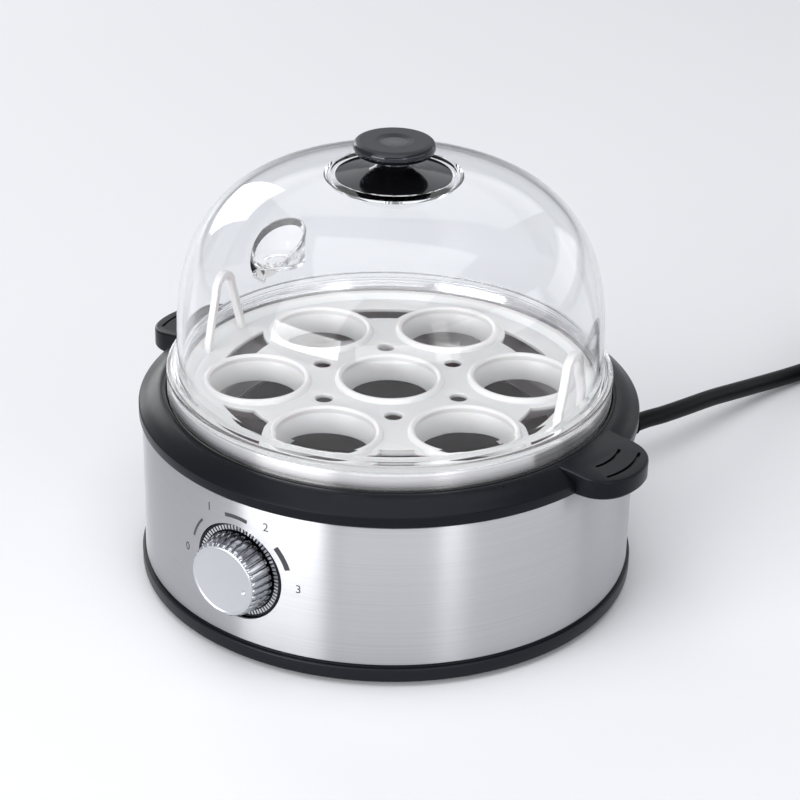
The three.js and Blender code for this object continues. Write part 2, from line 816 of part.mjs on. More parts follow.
function regulator() {
  const back = yRegulator + regulatorDepth;
  const corner = regulatorHalfHeight * 0.2;
  const shape = new THREE.Shape([
    [-regulatorHalfWidth, -regulatorHalfHeight + corner], [-regulatorHalfWidth + corner, -regulatorHalfHeight],
    [regulatorHalfWidth - corner, -regulatorHalfHeight], [regulatorHalfWidth, -regulatorHalfHeight + corner],
    [regulatorHalfWidth, regulatorHalfHeight - corner], [regulatorHalfWidth - corner, regulatorHalfHeight],
    [-regulatorHalfWidth + corner, regulatorHalfHeight], [-regulatorHalfWidth, regulatorHalfHeight - corner],
  ].map(([x, z]) => new THREE.Vector2(x, z)));
  const block = new THREE.ExtrudeGeometry(shape, { depth: regulatorDepth, bevelEnabled: false });
  let body = toSolid(alongFront(block.translate(0, 0, -back)).translate(0, 0, dialHeight));
  const bush = alongFront(rod(bushRadius, -yRegulator - overrun, -yRegulator + bushLength));
  const blades = [-1, 1].map((side) => box(
    [side * regulatorHalfWidth / 2 - bladeWidth / 2, back - overrun, dialHeight - bladeThickness / 2],
    [side * regulatorHalfWidth / 2 + bladeWidth / 2, back + bladeLength / 2, dialHeight + bladeThickness / 2],
  ));
  body = join(body, bush.translate(0, 0, dialHeight), ...blades);
  const bore = alongFront(rod(shaftRadius + fit, -yRegulator - shaftBed - fit, -yRegulator + 2 * bushLength));
  return toGeometry(cut(body, bore.translate(0, 0, dialHeight)));
}

function bushNut() {
  const front = yBezelBack - bezelFloor - fit;
  return alongFront(hexNut(bushNutRadius, bushRadius + fit, bushNutHeight).translate(0, 0, bushNutHeight / 2))
    .translate(0, front, dialHeight);
}

// Dial pieces are built about their own turning axis, which points out of the front.
function dialShaft() {
  const low = -yRegulator - shaftBed;
  const high = -yKnobFace - dialFaceWall - fit;
  const body = toSolid(rod(shaftRadius, low, high));
  const flat = box(
    [shaftRadius - shaftFlat, -shaftRadius, -yRegulator + bushLength],
    [2 * shaftRadius, shaftRadius, high + overrun],
  );
  return alongFront(toGeometry(cut(body, flat)));
}

function fluteRing(radius, depth, height) {
  const pointsPerFlute = 2;
  const count = dialFluteCount * pointsPerFlute;
  return around(count).map((angle) => {
    const wave = Math.abs(Math.sin(angle * dialFluteCount / 2));
    const [x, y] = polar(radius - depth * (1 - wave), angle);
    return new THREE.Vector3(x, y, height);
  });
}

function dialKnob() {
  const back = -yKnobBack;
  const front = -yKnobFace;
  const face = dialFaceRadius - dialRimChamfer;
  const skin = loft([
    fluteRing(dialKnobRadius, dialFluteDepth, back),
    fluteRing(dialFaceRadius, dialFluteDepth, front - dialRimChamfer),
    fluteRing(face, 0, front),
    fluteRing(face - dialRimChamfer, 0, front),
    fluteRing(face - 2 * dialRimChamfer, 0, front - dialDishDepth),
  ]);
  const cavity = tubeRing(dialHubRadius, dialCavityRadius, back - overrun, front - dialFaceWall, smallSteps);
  const bore = rod(shaftRadius + fit, back - overrun, front - dialFaceWall);
  const hubTrim = rod(dialHubRadius + fit, back - overrun, -yRegulator + bushLength + fit);
  const flatKey = box(
    [shaftRadius - shaftFlat + fit, -dialHubRadius, -yRegulator + bushLength + 2 * fit],
    [dialHubRadius - fit, dialHubRadius, front - dialFaceWall],
  );
  const dot = new THREE.SphereGeometry(dialDotRadius, 10, 6)
    .translate(dialDotPlace, 0, front - dialDishDepth + dialDotRadius - dialDotDepth);
  const keyed = toSolid(bore).subtract(toSolid(flatKey));
  const body = cut(toSolid(skin), cavity, hubTrim, dot).subtract(keyed);
  return alongFront(toGeometry(body));
}

function indicatorLamp() {
  const front = -yBezelBack + bezelFloor - fit;
  return alongFront(revolve([
    [0, front - lampLength], [lampRadius, front - lampLength], [lampRadius, front - lampRadius / 2],
    [lampRadius / 2, front], [0, front],
  ], boreSteps)).translate(0, 0, lampHeight);
}

function smallScrew(underHead) {
  return revolve([
    [0, zBaseFloor - smallScrewBite],
    [smallScrewRadius, zBaseFloor - smallScrewBite],
    [smallScrewRadius, underHead + fit],
    [smallScrewHead, underHead + fit],
    [smallScrewHead, underHead + fit + smallScrewHeadHeight / 2],
    [smallScrewHead / 2, underHead + fit + smallScrewHeadHeight],
    [0, underHead + fit + smallScrewHeadHeight],
  ], boreSteps);
}

// The curved triangle between two outer seats and the rim, in the tray's own frame at angle zero.
function steamShape() {
  const seatAngle = fullTurn / seatCount / 2;
  const [sx, sy] = polar(seatPitch, seatAngle);
  const meet = (radius) => {
    const cosine = (radius ** 2 + seatPitch ** 2 - steamClear ** 2) / (2 * radius * seatPitch);
    return seatAngle - Math.acos(cosine);
  };
  const outerAngle = meet(steamOuter);
  const innerAngle = meet(steamInner);
  const [ox, oy] = polar(steamOuter, outerAngle);
  const [ix, iy] = polar(steamInner, innerAngle);
  const shape = new THREE.Shape();
  shape.absarc(0, 0, steamOuter, -outerAngle, outerAngle);
  shape.absarc(sx, sy, steamClear, Math.atan2(oy - sy, ox - sx), Math.atan2(iy - sy, ix - sx), true);
  shape.absarc(sx, -sy, steamClear, Math.atan2(-iy + sy, ix - sx), Math.atan2(-oy + sy, ox - sx), true);
  return shape;
}

function seatCollar() {
  const top = zTrayPlate;
  const low = top - seatDepth;
  return revolveRing([
    [seatBottomRadius, low],
    [seatBottomRadius + seatWall, low],
    [seatTopRadius + seatWall, top - trayPlate],
    [seatTopRadius + seatWall + seatLip / 2, top],
    [seatTopRadius + seatWall, top + seatLip * 0.8],
    [seatTopRadius + seatWall / 3, top + seatLip],
    [seatTopRadius - seatWall / 3, top + seatLip * 0.5],
  ], seatSteps);
}

// A finger loop: a tapering arch whose two feet stand on the tray beside a steam opening.
function fingerLoop() {
  const base = zTray;
  const crown = base + loopHeight - loopTopRadius;
  const arch = (foot, top, low) => {
    const outline = new THREE.Shape();
    outline.moveTo(-foot, low);
    outline.lineTo(-top, crown);
    outline.absarc(0, crown, top, Math.PI, 0, true);
    outline.lineTo(foot, low);
    outline.closePath();
    return new THREE.ExtrudeGeometry(outline, { depth: loopThickness, bevelEnabled: false, curveSegments: 4 });
  };
  const outer = toSolid(arch(loopFootHalf, loopTopRadius, base));
  const inner = arch(loopFootHalf - loopBar, loopTopRadius - loopBar, base - overrun);
  const hole = inner.scale(1, 1, loopThickness).translate(0, 0, -loopThickness);
  const bow = toGeometry(cut(outer, hole)).translate(0, 0, -loopThickness / 2);
  return bow.rotateX(quarterTurn).rotateZ(quarterTurn).translate(loopPlace, 0, 0);
}

function seatTray() {
  const top = zTrayPlate;
  const low = top - trayPlate;
  const wellRadius = panLedgeInner - traySide;
  const rimTop = zTray + trayRimHeight;
  let body = toSolid(revolve([
    [0, low],
    [wellRadius - traySide, low],
    [wellRadius, zTray],
    [trayRimRadius, zTray],
    [trayRimRadius, rimTop - traySide],
    [trayRimRadius - traySide, rimTop],
    [trayRimRadius - trayRimWidth + traySide, rimTop],
    [wellRadius - trayRimHeight, top],
    [0, top],
  ], domeSteps));
  const seats = [[0, 0], ...around(seatCount, fullTurn / seatCount / 2).map((angle) => polar(seatPitch, angle))];
  for (const [x, y] of seats) {
    const well = rod(seatTopRadius + seatWall / 2, low - overrun, top + overrun, seatSteps);
    body = join(cut(body, well.translate(x, y, 0)), seatCollar().translate(x, y, 0));
  }
  const depth = trayPlate + 2 * overrun;
  for (const angle of around(seatCount)) {
    const slot = new THREE.ExtrudeGeometry(steamShape(), { depth, bevelEnabled: false, curveSegments: 4 });
    const holePlace = seatPitch / Math.sqrt(3);
    const hole = rod(steamHoleRadius, low - overrun, top + overrun, 8).translate(holePlace, 0, 0);
    body = cut(body, slot.translate(0, 0, low - overrun).rotateZ(angle), hole.rotateZ(angle));
  }
  for (const turn of [0, Math.PI]) body = join(body, fingerLoop().rotateZ(turn));
  return toGeometry(body).rotateZ(trayTurn);
}

// Points on the dome's rounded profile, from the spring line up, offset inwards by a wall.
function domeArc(wall, from, to, steps) {
  const points = [];
  for (let i = 0; i <= steps; i += 1) {
    const angle = from + (to - from) * i / steps;
    const radius = (domeRadius - wall) * Math.cos(angle) ** (2 / domePower);
    const rise = (domeRise - wall) * Math.sin(angle) ** (2 / domePower);
    points.push([radius, zDomeSpring + rise]);
  }
  return points;
}

function domeAngle(radius, wall) {
  return Math.acos((radius / (domeRadius - wall)) ** (domePower / 2));
}

function domeHeightAt(radius) {
  return zDomeSpring + domeRise * Math.sin(domeAngle(radius, 0)) ** (2 / domePower);
}

// The steam outlet: an upright cup sunk in the dome's shoulder, whose lip follows the dome.
function steamCup(dome) {
  const [x, y] = polar(steamCupPlace, steamCupAzimuth);
  const upright = (radius, low, high) => rod(radius, low, high, 20).translate(x, y, 0);
  const skin = domeArc(-steamCupLip, 0.3, domeAngle(recessRadius, -steamCupLip), 6);
  const grown = revolve([[0, skin[0][1]], ...skin, [0, skin.at(-1)[1]]], domeSteps);
  const floor = domeHeightAt(steamCupPlace + steamCupRadius) - steamCupLip + steamCupRise;
  const high = zDomeSpring + domeRise + overrun;
  const outside = toSolid(upright(steamCupRadius, floor - steamCupFloor, high)).intersect(toSolid(grown));
  const bore = upright(steamCupRadius - steamCupWall, floor, high);
  return cut(dome.add(outside), bore, upright(steamCupHole, zDomeSpring, high));
}

function lidDome() {
  const zSkirt = zDomeFlange - domeSkirt;
  const recessFoot = recessRadius - recessDepth / 2;
  const flangeTop = zDomeFlange + domeFlangeHeight;
  const outer = domeArc(0, 0.04, domeAngle(recessRadius, 0), 8);
  const inner = domeArc(domeWall, 0.04, domeAngle(recessRadius + domeWall, domeWall), 5);
  const body = toSolid(revolveRing([
    [lidBore, zRecess],
    [recessFoot, zRecess],
    ...outer.reverse(),
    [domeRadius, zDomeWall],
    [domeStepRadius, flangeTop + domeStepHeight / 2],
    [domeStepRadius, flangeTop],
    [domeFlangeRadius, flangeTop],
    [domeFlangeRadius, zDomeFlange],
    [skirtOuter, zDomeFlange],
    [skirtOuter, zSkirt],
    [skirtInner, zSkirt],
    [skirtInner, zDomeFlange],
    [domeRadius - domeWall, zDomeWall],
    ...inner,
    [recessRadius + domeWall / 2, zRecess - domeWall],
    [lidBore, zRecess - domeWall],
  ], domeSteps));
  return toGeometry(steamCup(body));
}

function lidKnob() {
  const low = zRecess + fit;
  const top = low + lidKnobHeight;
  const discLow = top - lidKnobDisc;
  return revolve([
    [0, low + lidScrewLength * 0.7],
    [lidBore, low + lidScrewLength * 0.7],
    [lidBore, low],
    [lidKnobFlange - fit, low],
    [lidKnobFlange, low + lidKnobDisc * 0.13],
    [lidKnobNeck * 1.75, low + lidKnobHeight * 0.2],
    [lidKnobNeck * 1.15, low + lidKnobHeight * 0.3],
    [lidKnobNeck, low + lidKnobHeight * 0.4],
    [lidKnobNeck, low + lidKnobHeight * 0.54],
    [lidKnobNeck * 1.2, discLow - lidKnobDisc * 0.09],
    [lidKnobRadius * 0.82, discLow],
    [lidKnobRadius * 0.94, discLow + lidKnobDisc * 0.12],
    [lidKnobRadius, discLow + lidKnobDisc * 0.4],
    [lidKnobRadius * 0.99, discLow + lidKnobDisc * 0.68],
    [lidKnobRadius * 0.93, discLow + lidKnobDisc * 0.9],
    [lidKnobRadius * 0.84, top],
    [lidKnobDish, top],
    [lidKnobDish * 0.7, top - lidKnobDishDepth * 0.7],
    [0, top - lidKnobDishDepth],
  ], 22);
}

function lidWasher() {
  const high = zRecess - domeWall - fit;
  return tubeRing(lidScrewRadius + fit, lidWasherRadius, high - lidWasherHeight, high, smallSteps);
}

function lidScrew() {
  const underHead = zRecess - domeWall - 2 * fit - lidWasherHeight;
  return revolve([
    [0, underHead - lidScrewHeadHeight],
    [lidScrewHead * 0.7, underHead - lidScrewHeadHeight],
    [lidScrewHead, underHead - lidScrewHeadHeight * 0.6],
    [lidScrewHead, underHead],
    [lidScrewRadius, underHead],
    [lidScrewRadius, underHead + lidScrewLength * 0.9],
    [0, underHead + lidScrewLength * 0.9],
  ], smallSteps);
}

function rubberFoot() {
  const edge = footPocketDepth * 0.4;
  return revolve([
    [0, 0], [footRadius - edge, 0], [footRadius, edge], [footRadius, footHeight], [0, footHeight],
  ], smallSteps);
}

function baseScrew() {
  const low = zBase + fit;
  return revolve([
    [0, low], [screwHeadRadius * 0.8, low], [screwHeadRadius, low + screwHeadHeight / 3],
    [screwHeadRadius, low + screwHeadHeight], [screwRadius, low + screwHeadHeight],
    [screwRadius, low + screwHeadHeight + screwLength], [0, low + screwHeadHeight + screwLength],
  ], boreSteps);
}

// Mains entry: these pieces lie along +Y and are turned together to the lead's exit.
const reliefInside = spigotInner - 3 * fit;
const reliefBack = baseRadius + fit;
const reliefEnd = reliefBack + reliefFlangeWidth + reliefLength;
const cordInnerFront = reliefInside - reliefCollarWidth - fit;
const cordInnerEnd = cordInnerFront - cordInnerLength;
const clampMiddle = reliefInside - reliefCollarWidth - clampSetBack;
const clampScrewPlace = clampHalfWidth - smallScrewHead;
const blockMiddle = cordInnerEnd - blockDepth / 2 - 3 * fit;
const blockScrewPlace = blockPitch / 2;

function strainRelief() {
  const rows = 5;
  const taperStart = reliefBack + reliefFlangeWidth;
  const profile = [
    [0, reliefInside - reliefCollarWidth],
    [reliefCollar, reliefInside - reliefCollarWidth],
    [reliefCollar, reliefInside],
    [reliefNeck, reliefInside],
    [reliefNeck, reliefBack],
    [reliefFlange, reliefBack],
    [reliefFlange, taperStart],
  ];
  for (let i = 0; i < rows; i += 1) {
    const share = i / rows;
    const radius = reliefRoot + (reliefTip - reliefRoot) * share;
    const start = taperStart + reliefLength * share;
    const rib = reliefLength / rows;
    profile.push([radius, start + rib * 0.05], [radius, start + rib * 0.6]);
    profile.push([radius * 0.86, start + rib * 0.7], [radius * 0.86, start + rib * 0.95]);
  }
  profile.push([reliefTip, reliefEnd], [0, reliefEnd]);
  return alongBack(revolve(profile, 10)).translate(0, 0, cordExitHeight);
}

function cordInner() {
  return alongBack(rod(cordRadius, cordInnerEnd, cordInnerFront, cordSides)).translate(0, 0, cordExitHeight);
}

function cordClamp() {
  const top = cordExitHeight + cordRadius + clampCover;
  let body = toSolid(box(
    [-clampHalfWidth, clampMiddle - clampDepth / 2, zBaseFloor + fit],
    [clampHalfWidth, clampMiddle + clampDepth / 2, top],
  ));
  const bore = alongBack(rod(cordRadius + fit, 0, reliefInside)).translate(0, 0, cordExitHeight);
  body = cut(body, bore);
  for (const side of [-1, 1]) {
    const hole = rod(smallScrewRadius + fit, 0, top + overrun, boreSteps);
    const x = side * clampScrewPlace;
    const seat = rod(smallScrewHead + fit, zBaseFloor + cordRadius, top + overrun, boreSteps);
    body = cut(body, hole.translate(x, clampMiddle, 0), seat.translate(x, clampMiddle, 0));
  }
  return toGeometry(body);
}

function terminalBlock() {
  const low = zBaseFloor + fit;
  let body = toSolid(box(
    [-blockWidth / 2, blockMiddle - blockDepth / 2, low],
    [blockWidth / 2, blockMiddle + blockDepth / 2, low + blockHeight],
  ));
  for (let way = 0; way < blockWays; way += 1) {
    const x = (way - (blockWays - 1) / 2) * blockPitch;
    const bore = alongBack(rod(blockBore, blockMiddle - blockDepth, blockMiddle + blockDepth, 12));
    const well = rod(blockBore, low + blockBoreHeight, low + blockHeight + overrun, 12);
    body = cut(body, bore.translate(x, 0, low + blockBoreHeight), well.translate(x, blockMiddle, 0));
  }
  const hole = rod(smallScrewRadius + fit, 0, low + blockHeight + overrun, boreSteps);
  return toGeometry(cut(body, hole.translate(blockScrewPlace, blockMiddle, 0)));
}

// The free stretch of the lead: chosen points from the strain relief down to the surface.
function cordStart() {
  const [x, y] = polar(reliefEnd + fit, quarterTurn + cordTurn);
  return new THREE.Vector3(x, y, cordExitHeight);
}

const coilOuter = coilInner + coilPitch * coilTurns / 2;
const coilCentre = new THREE.Vector3(108.7, 257, 0);

function cordRoute() {
  const start = cordStart();
  const heading = new THREE.Vector3(Math.cos(quarterTurn + cordTurn), Math.sin(quarterTurn + cordTurn), 0);
  const finish = new THREE.Vector3(coilCentre.x - coilOuter, coilCentre.y - 2 * cordRadius - fit, cordLow);
  const chosen = cordWaypoints.map((point) => new THREE.Vector3(...point));
  return [
    start,
    start.clone().addScaledVector(heading, 2 * cordRadius),
    ...chosen,
    finish.clone().add(new THREE.Vector3(0, -cordRadius, 0)),
    finish,
  ];
}

function mainsCord() {
  const path = new THREE.CatmullRomCurve3(cordRoute(), false, 'centripetal');
  const section = new THREE.Shape().absarc(0, 0, cordRadius, 0, fullTurn);
  return new THREE.ExtrudeGeometry(section, { steps: 16, extrudePath: path, curveSegments: cordSides / 2 });
}

// The put-away length: a flat spiral in, a climb, and a spiral out on top, with straight ends.
function coilRoute() {
  const lift = 2 * cordRadius + coilLayerGap;
  const middle = coilTurns / 2;
  const steps = Math.round(coilTurns * coilStepsPerTurn);
  const points = [];
  for (let i = 0; i <= steps; i += 1) {
    const turn = coilTurns * i / steps;
    const radius = coilInner + coilPitch * Math.abs(turn - middle);
    const climb = THREE.MathUtils.clamp((turn - middle + 0.25) * 2, 0, 1);
    const [x, y] = polar(radius, Math.PI - turn * fullTurn);
    points.push(new THREE.Vector3(coilCentre.x + x, coilCentre.y + y, cordLow + lift * climb));
  }
  const first = points[0].clone().add(new THREE.Vector3(0, -2 * cordRadius, 0));
  const last = points.at(-1).clone().add(new THREE.Vector3(0, -2 * cordRadius, 0));
  return [first, ...points, last];
}

// Sweeps a regular section along points, turning it as little as possible.
function sweep(points, radius, sides) {
  const normal = new THREE.Vector3(0, 0, 1);
  const rings = points.map((point, i) => {
    const before = points[Math.max(i - 1, 0)];
    const after = points[Math.min(i + 1, points.length - 1)];
    const tangent = after.clone().sub(before).normalize();
    normal.addScaledVector(tangent, -normal.dot(tangent)).normalize();
    const side = tangent.clone().cross(normal);
    return around(sides).map((angle) => point.clone()
      .addScaledVector(normal, radius * Math.cos(angle))
      .addScaledVector(side, radius * Math.sin(angle)));
  });
  return loft(rings);
}

function leastCoilGap(points) {
  let least = Infinity;
  const apart = coilStepsPerTurn / 2;
  for (let i = 0; i < points.length; i += 1) {
    for (let j = i + apart; j < points.length; j += 1) {
      least = Math.min(least, points[i].distanceTo(points[j]) - 2 * cordRadius);
    }
  }
  return least;
}

const plugAxis = new THREE.Vector3(coilCentre.x + coilOuter, coilCentre.y - 2 * cordRadius - fit, 0);
const plugHeight = cordLow + 2 * cordRadius + coilLayerGap;

function plug() {
  const sides = 20;
  const ring = (halfWidth, halfHeight, along) => around(sides).map((angle) => {
    const c = Math.cos(angle);
    const s = Math.sin(angle);
    const x = halfWidth * Math.sign(c) * Math.abs(c) ** 0.7;
    const z = halfHeight * Math.sign(s) * Math.abs(s) ** 0.7;
    return new THREE.Vector3(x, -along, z);
  });
  return loft([
    ring(plugNoseRadius, plugNoseRadius, 0),
    ring(plugNoseRadius * 1.25, plugNoseRadius * 1.25, plugNose * 0.9),
    ring(plugHalfWidth * 0.62, plugHalfHeight * 0.8, plugNose),
    ring(plugHalfWidth * 0.92, plugHalfHeight * 0.97, plugNose + plugLength * 0.35),
    ring(plugHalfWidth, plugHalfHeight, plugNose + plugLength * 0.6),
    ring(plugHalfWidth, plugHalfHeight, plugNose + plugLength * 0.94),
    ring(plugHalfWidth * 0.95, plugHalfHeight * 0.93, plugNose + plugLength),
  ]).translate(plugAxis.x, plugAxis.y, plugHeight);
}

function plugPin(side) {
  const start = -plugAxis.y + plugNose + plugLength + fit;
  const tip = pinRadius * 0.45;
  return alongFront(revolve([
    [0, start], [pinRadius, start], [pinRadius, start + pinLength - tip],
    [pinRadius - tip, start + pinLength], [0, start + pinLength],
  ], boreSteps)).translate(plugAxis.x + side * pinPlace, 0, plugHeight);
}

place('base_cover', baseCover(), satinBlack);
place('steel_sleeve', steelSleeve(), brushedSteel);
place('top_ring', topRing(), satinBlack);
place('water_pan', waterPan(), plainSteel);
place('pan_seal', panSeal(), silicone);
place('heating_plate', heatingPlate(), plateCoat);
place('plate_seal', plateSeal(), silicone);
place('heating_element', heatingElement(), plainSteel);
place('pan_strap', panStrap(), plainSteel);
place('thermostat', thermostat(), ceramic);
place('thermal_fuse', thermalFuse(), silicone);

for (const side of [-1, 1]) {
  const nut = hexNut(nutRadius, studRadius + fit, nutHeight);
  nut.translate(side * studPlace, 0, zStrap - strapThickness - fit - nutHeight / 2);
  place(side < 0 ? 'strap_nut_left' : 'strap_nut_right', nut, plainSteel);
}

place('dial_bezel', dialBezel(), satinBlack);
place('light_ring', lightRing(), clear);
place('regulator_bracket', regulatorBracket(), plainSteel);
place('regulator', regulator(), ceramic);
place('bush_nut', bushNut(), plainSteel);
place('indicator_lamp', indicatorLamp(), amber);

const dial = new THREE.Group();
dial.position.set(0, 0, dialHeight);
dial.rotation.y = dialRestTurn;
place('dial_shaft', dialShaft(), plainSteel, dial);
place('dial_knob', dialKnob(), silver, dial);
stand.add(dial);

smallScrewPlaces().slice(0, 2).forEach((spot, i) => {
  const screw = smallScrew(zBaseFloor + fit + bracketSheet);
  place(`bracket_screw_${i + 1}`, screw.translate(spot.x, spot.y, 0), plainSteel);
});

place('seat_tray', seatTray(), milky);
place('lid_dome', lidDome(), clear);
place('lid_knob', lidKnob(), glossBlack);
place('lid_washer', lidWasher(), clear);
place('lid_screw', lidScrew(), plainSteel);

footPlaces().forEach(([x, y], i) => {
  place(`rubber_foot_${i + 1}`, rubberFoot().translate(x, y, 0), rubber);
});
postPlaces().forEach(([x, y], i) => {
  place(`base_screw_${i + 1}`, baseScrew().translate(x, y, 0), plainSteel);
});

const entry = new THREE.Group();
entry.rotation.z = cordTurn;
place('strain_relief', strainRelief(), rubber, entry);
place('cord_inner', cordInner(), rubber, entry);
place('cord_clamp', cordClamp(), satinBlack, entry);
place('terminal_block', terminalBlock(), ceramic, entry);
[-1, 1].forEach((side, i) => {
  const screw = smallScrew(zBaseFloor + cordRadius);
  place(`clamp_screw_${i + 1}`, screw.translate(side * clampScrewPlace, clampMiddle, 0), plainSteel, entry);
});
const blockScrew = smallScrew(zBaseFloor + fit + blockHeight).translate(blockScrewPlace, blockMiddle, 0);
place('block_screw', blockScrew, plainSteel, entry);
stand.add(entry);

const coilPoints = coilRoute();
console.log(`least gap of the coil to itself: ${leastCoilGap(coilPoints).toFixed(2)} mm`);
place('mains_cord', mainsCord(), rubber);
place('cord_coil', sweep(coilPoints, cordRadius, coilSides), rubber);
place('plug', plug(), rubber);
place('plug_pin_left', plugPin(-1), silver);
place('plug_pin_right', plugPin(1), silver);

export default group;
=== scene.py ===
# %% [markdown]
# # An egg boiler with a clear dome
# The solids of this boiler come from a CAD model, which is loaded here as a fixed frame. Every cell
# below then makes one piece that looks like the real one and stands in the same place. Sizes are
# written in millimetres, as a maker would read them off a drawing, and turned into metres at the end.

# %% Load the frame
from math import acos, atan2, copysign, cos, degrees, hypot, pi, radians, sin, tan
from functools import partial
import bmesh
import bpy
from mathutils import Matrix, Vector


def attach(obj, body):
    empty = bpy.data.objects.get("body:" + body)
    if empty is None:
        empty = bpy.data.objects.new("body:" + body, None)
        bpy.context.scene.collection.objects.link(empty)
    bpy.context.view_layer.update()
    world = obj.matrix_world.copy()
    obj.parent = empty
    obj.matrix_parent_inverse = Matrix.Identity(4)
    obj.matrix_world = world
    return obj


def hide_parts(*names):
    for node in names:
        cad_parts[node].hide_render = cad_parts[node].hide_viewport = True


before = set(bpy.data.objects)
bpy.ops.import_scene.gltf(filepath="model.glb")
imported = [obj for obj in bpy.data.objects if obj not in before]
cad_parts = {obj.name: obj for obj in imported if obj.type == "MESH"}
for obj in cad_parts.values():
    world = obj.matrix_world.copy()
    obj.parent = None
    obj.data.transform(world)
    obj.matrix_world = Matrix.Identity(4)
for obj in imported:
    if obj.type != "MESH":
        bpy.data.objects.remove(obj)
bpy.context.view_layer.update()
MM = 0.001
AXIS_Y = 3.35  # how far behind the frame's origin the body's axis stands, in millimetres

# %% [markdown]
# ## The camera
# The photograph looks down at the boiler by about 27 degrees with a long lens, from its front right.
# A long lens keeps the dome's outline nearly free of perspective. The small shift and the small roll
# put the body where the photograph has it in its frame.

# %% Camera
def placed(name, data):
    """A new object in the scene."""
    made = bpy.data.objects.new(name, data)
    bpy.context.scene.collection.objects.link(made)
    return made


AIM_HEIGHT, DISTANCE = 0.062, 0.8746
azimuth, elevation, roll = (radians(angle) for angle in (34.7, 27.3, 1.2))
back = Vector((sin(azimuth) * cos(elevation), -cos(azimuth) * cos(elevation), sin(elevation)))
level = Vector((cos(azimuth), sin(azimuth), 0))
upright = back.cross(level)
side = level * cos(roll) + upright * sin(roll)
top = upright * cos(roll) - level * sin(roll)
spot = Vector((0, AXIS_Y * MM, AIM_HEIGHT)) + back * DISTANCE

camera_data = bpy.data.cameras.new("camera")
camera_data.sensor_width = 36
camera_data.lens = 105.7
camera_data.shift_x = 0.01375
camera_data.shift_y = 0.0105
camera = placed("camera", camera_data)
camera.matrix_world = Matrix.Translation(spot) @ Matrix((side, top, back)).transposed().to_4x4()
bpy.context.scene.camera = camera
print("camera stands", round(spot.length, 3), "m from the origin")

# %% [markdown]
# ## Small tools
# Most of this object is round, so one helper turns a profile about the upright axis. Real plastic and
# sheet metal have no knife edges, so a second helper rounds the corners of a profile before it is
# turned: the small arcs are what catch the light. A third makes one closed object out of the parts.

# %% Turn a profile round the axis
def turned(profile, steps=160, ring=False):
    """Vertices and faces of radius and height points turned round Z; ring closes the profile."""
    verts, loops = [], []
    for r, z in profile:
        count = 1 if r < 1e-6 else steps
        loops.append(range(len(verts), len(verts) + count))
        verts += [(r * cos(2 * pi * i / steps), r * sin(2 * pi * i / steps), z)
                  for i in range(count)]
    faces = []
    pairs = list(zip(loops, loops[1:])) + ([(loops[-1], loops[0])] if ring else [])
    for low, high in pairs:
        for i in range(steps):
            j = (i + 1) % steps
            face = tuple(dict.fromkeys((low[i % len(low)], low[j % len(low)],
                                        high[j % len(high)], high[i % len(high)])))
            if len(face) > 2:
                faces.append(face)
    return verts, faces


def rod(radius, low, high, steps):
    """A plain upright cylinder."""
    return turned([(0, low), (radius, low), (radius, high), (0, high)], steps)

# %% Round the corners of a profile
def eased(points, radius, ring=False, arc=4):
    """Rounds the corners of a profile; radius is one value, or one for each point."""
    out = []
    for i, point in enumerate(points):
        r = radius[i] if isinstance(radius, (list, tuple)) else radius
        if r == 0 or (not ring and i in (0, len(points) - 1)):
            out.append(tuple(point))
            continue
        q = Vector(point)
        u, v = Vector(points[i - 1]) - q, Vector(points[(i + 1) % len(points)]) - q
        reach = 0.45 * min(u.length, v.length)
        u.normalize()
        v.normalize()
        half = acos(max(-1, min(1, u.dot(v)))) / 2
        if half > 1.55:
            out.append(tuple(point))
            continue
        cut = min(r / tan(half), reach)
        r = cut * tan(half)
        centre = q + (u + v).normalized() * (r / sin(half))
        a = atan2(*(q + u * cut - centre).yx)
        b = atan2(*(q + v * cut - centre).yx)
        sweep = (b - a + pi) % (2 * pi) - pi
        turns = [a + sweep * k / arc for k in range(arc + 1)]
        out += [(centre.x + r * cos(turn), centre.y + r * sin(turn)) for turn in turns]
    return out


def ringed(points, radius, steps=160, arc=4):
    """A closed ring: a profile with eased corners, turned round the axis."""
    return turned(eased(points, radius, ring=True, arc=arc), steps, ring=True)


def flat_ring(inner, outer, low, high, radius, steps=160, arc=4):
    """A closed ring with a rectangular section and eased edges."""
    return ringed([(inner, low), (outer, low), (outer, high), (inner, high)], radius, steps, arc)

# %% Stack rings into one closed skin
def skin(rings, closed=False):
    """Joins rings of equal point counts; the two ends get a flat cap unless the stack closes on itself."""
    count = len(rings[0])
    verts = [tuple(point) for ring in rings for point in ring]
    faces = []
    for k in range(len(rings) if closed else len(rings) - 1):
        a, b = k * count, (k + 1) % len(rings) * count
        faces += [(a + i, a + (i + 1) % count, b + (i + 1) % count, b + i) for i in range(count)]
    if not closed:
        faces.append(tuple(reversed(range(count))))
        faces.append(tuple(range(len(verts) - count, len(verts))))
    return verts, faces

# %% Move parts about, and make one object of them
WELD = 0.0005


def moved(part, matrix):
    return [tuple(matrix @ Vector(v)) for v in part[0]], part[1]


def shifted(part, x=0, y=0, z=0, turn=0):
    return moved(part, Matrix.Translation((x, y, z)) @ Matrix.Rotation(radians(turn), 4, "Z"))


def outwards(mesh, weld=0.0):
    """Welds points that fall together and turns the faces outwards."""
    work = bmesh.new()
    work.from_mesh(mesh)
    if weld:
        bmesh.ops.remove_doubles(work, verts=work.verts, dist=weld)
    bmesh.ops.recalc_face_normals(work, faces=work.faces)
    work.to_mesh(mesh)
    work.free()


def metres(points):
    """Points in millimetres from the body's axis, as the scene has them."""
    return [(x * MM, (y + AXIS_Y) * MM, z * MM) for x, y, z in points]


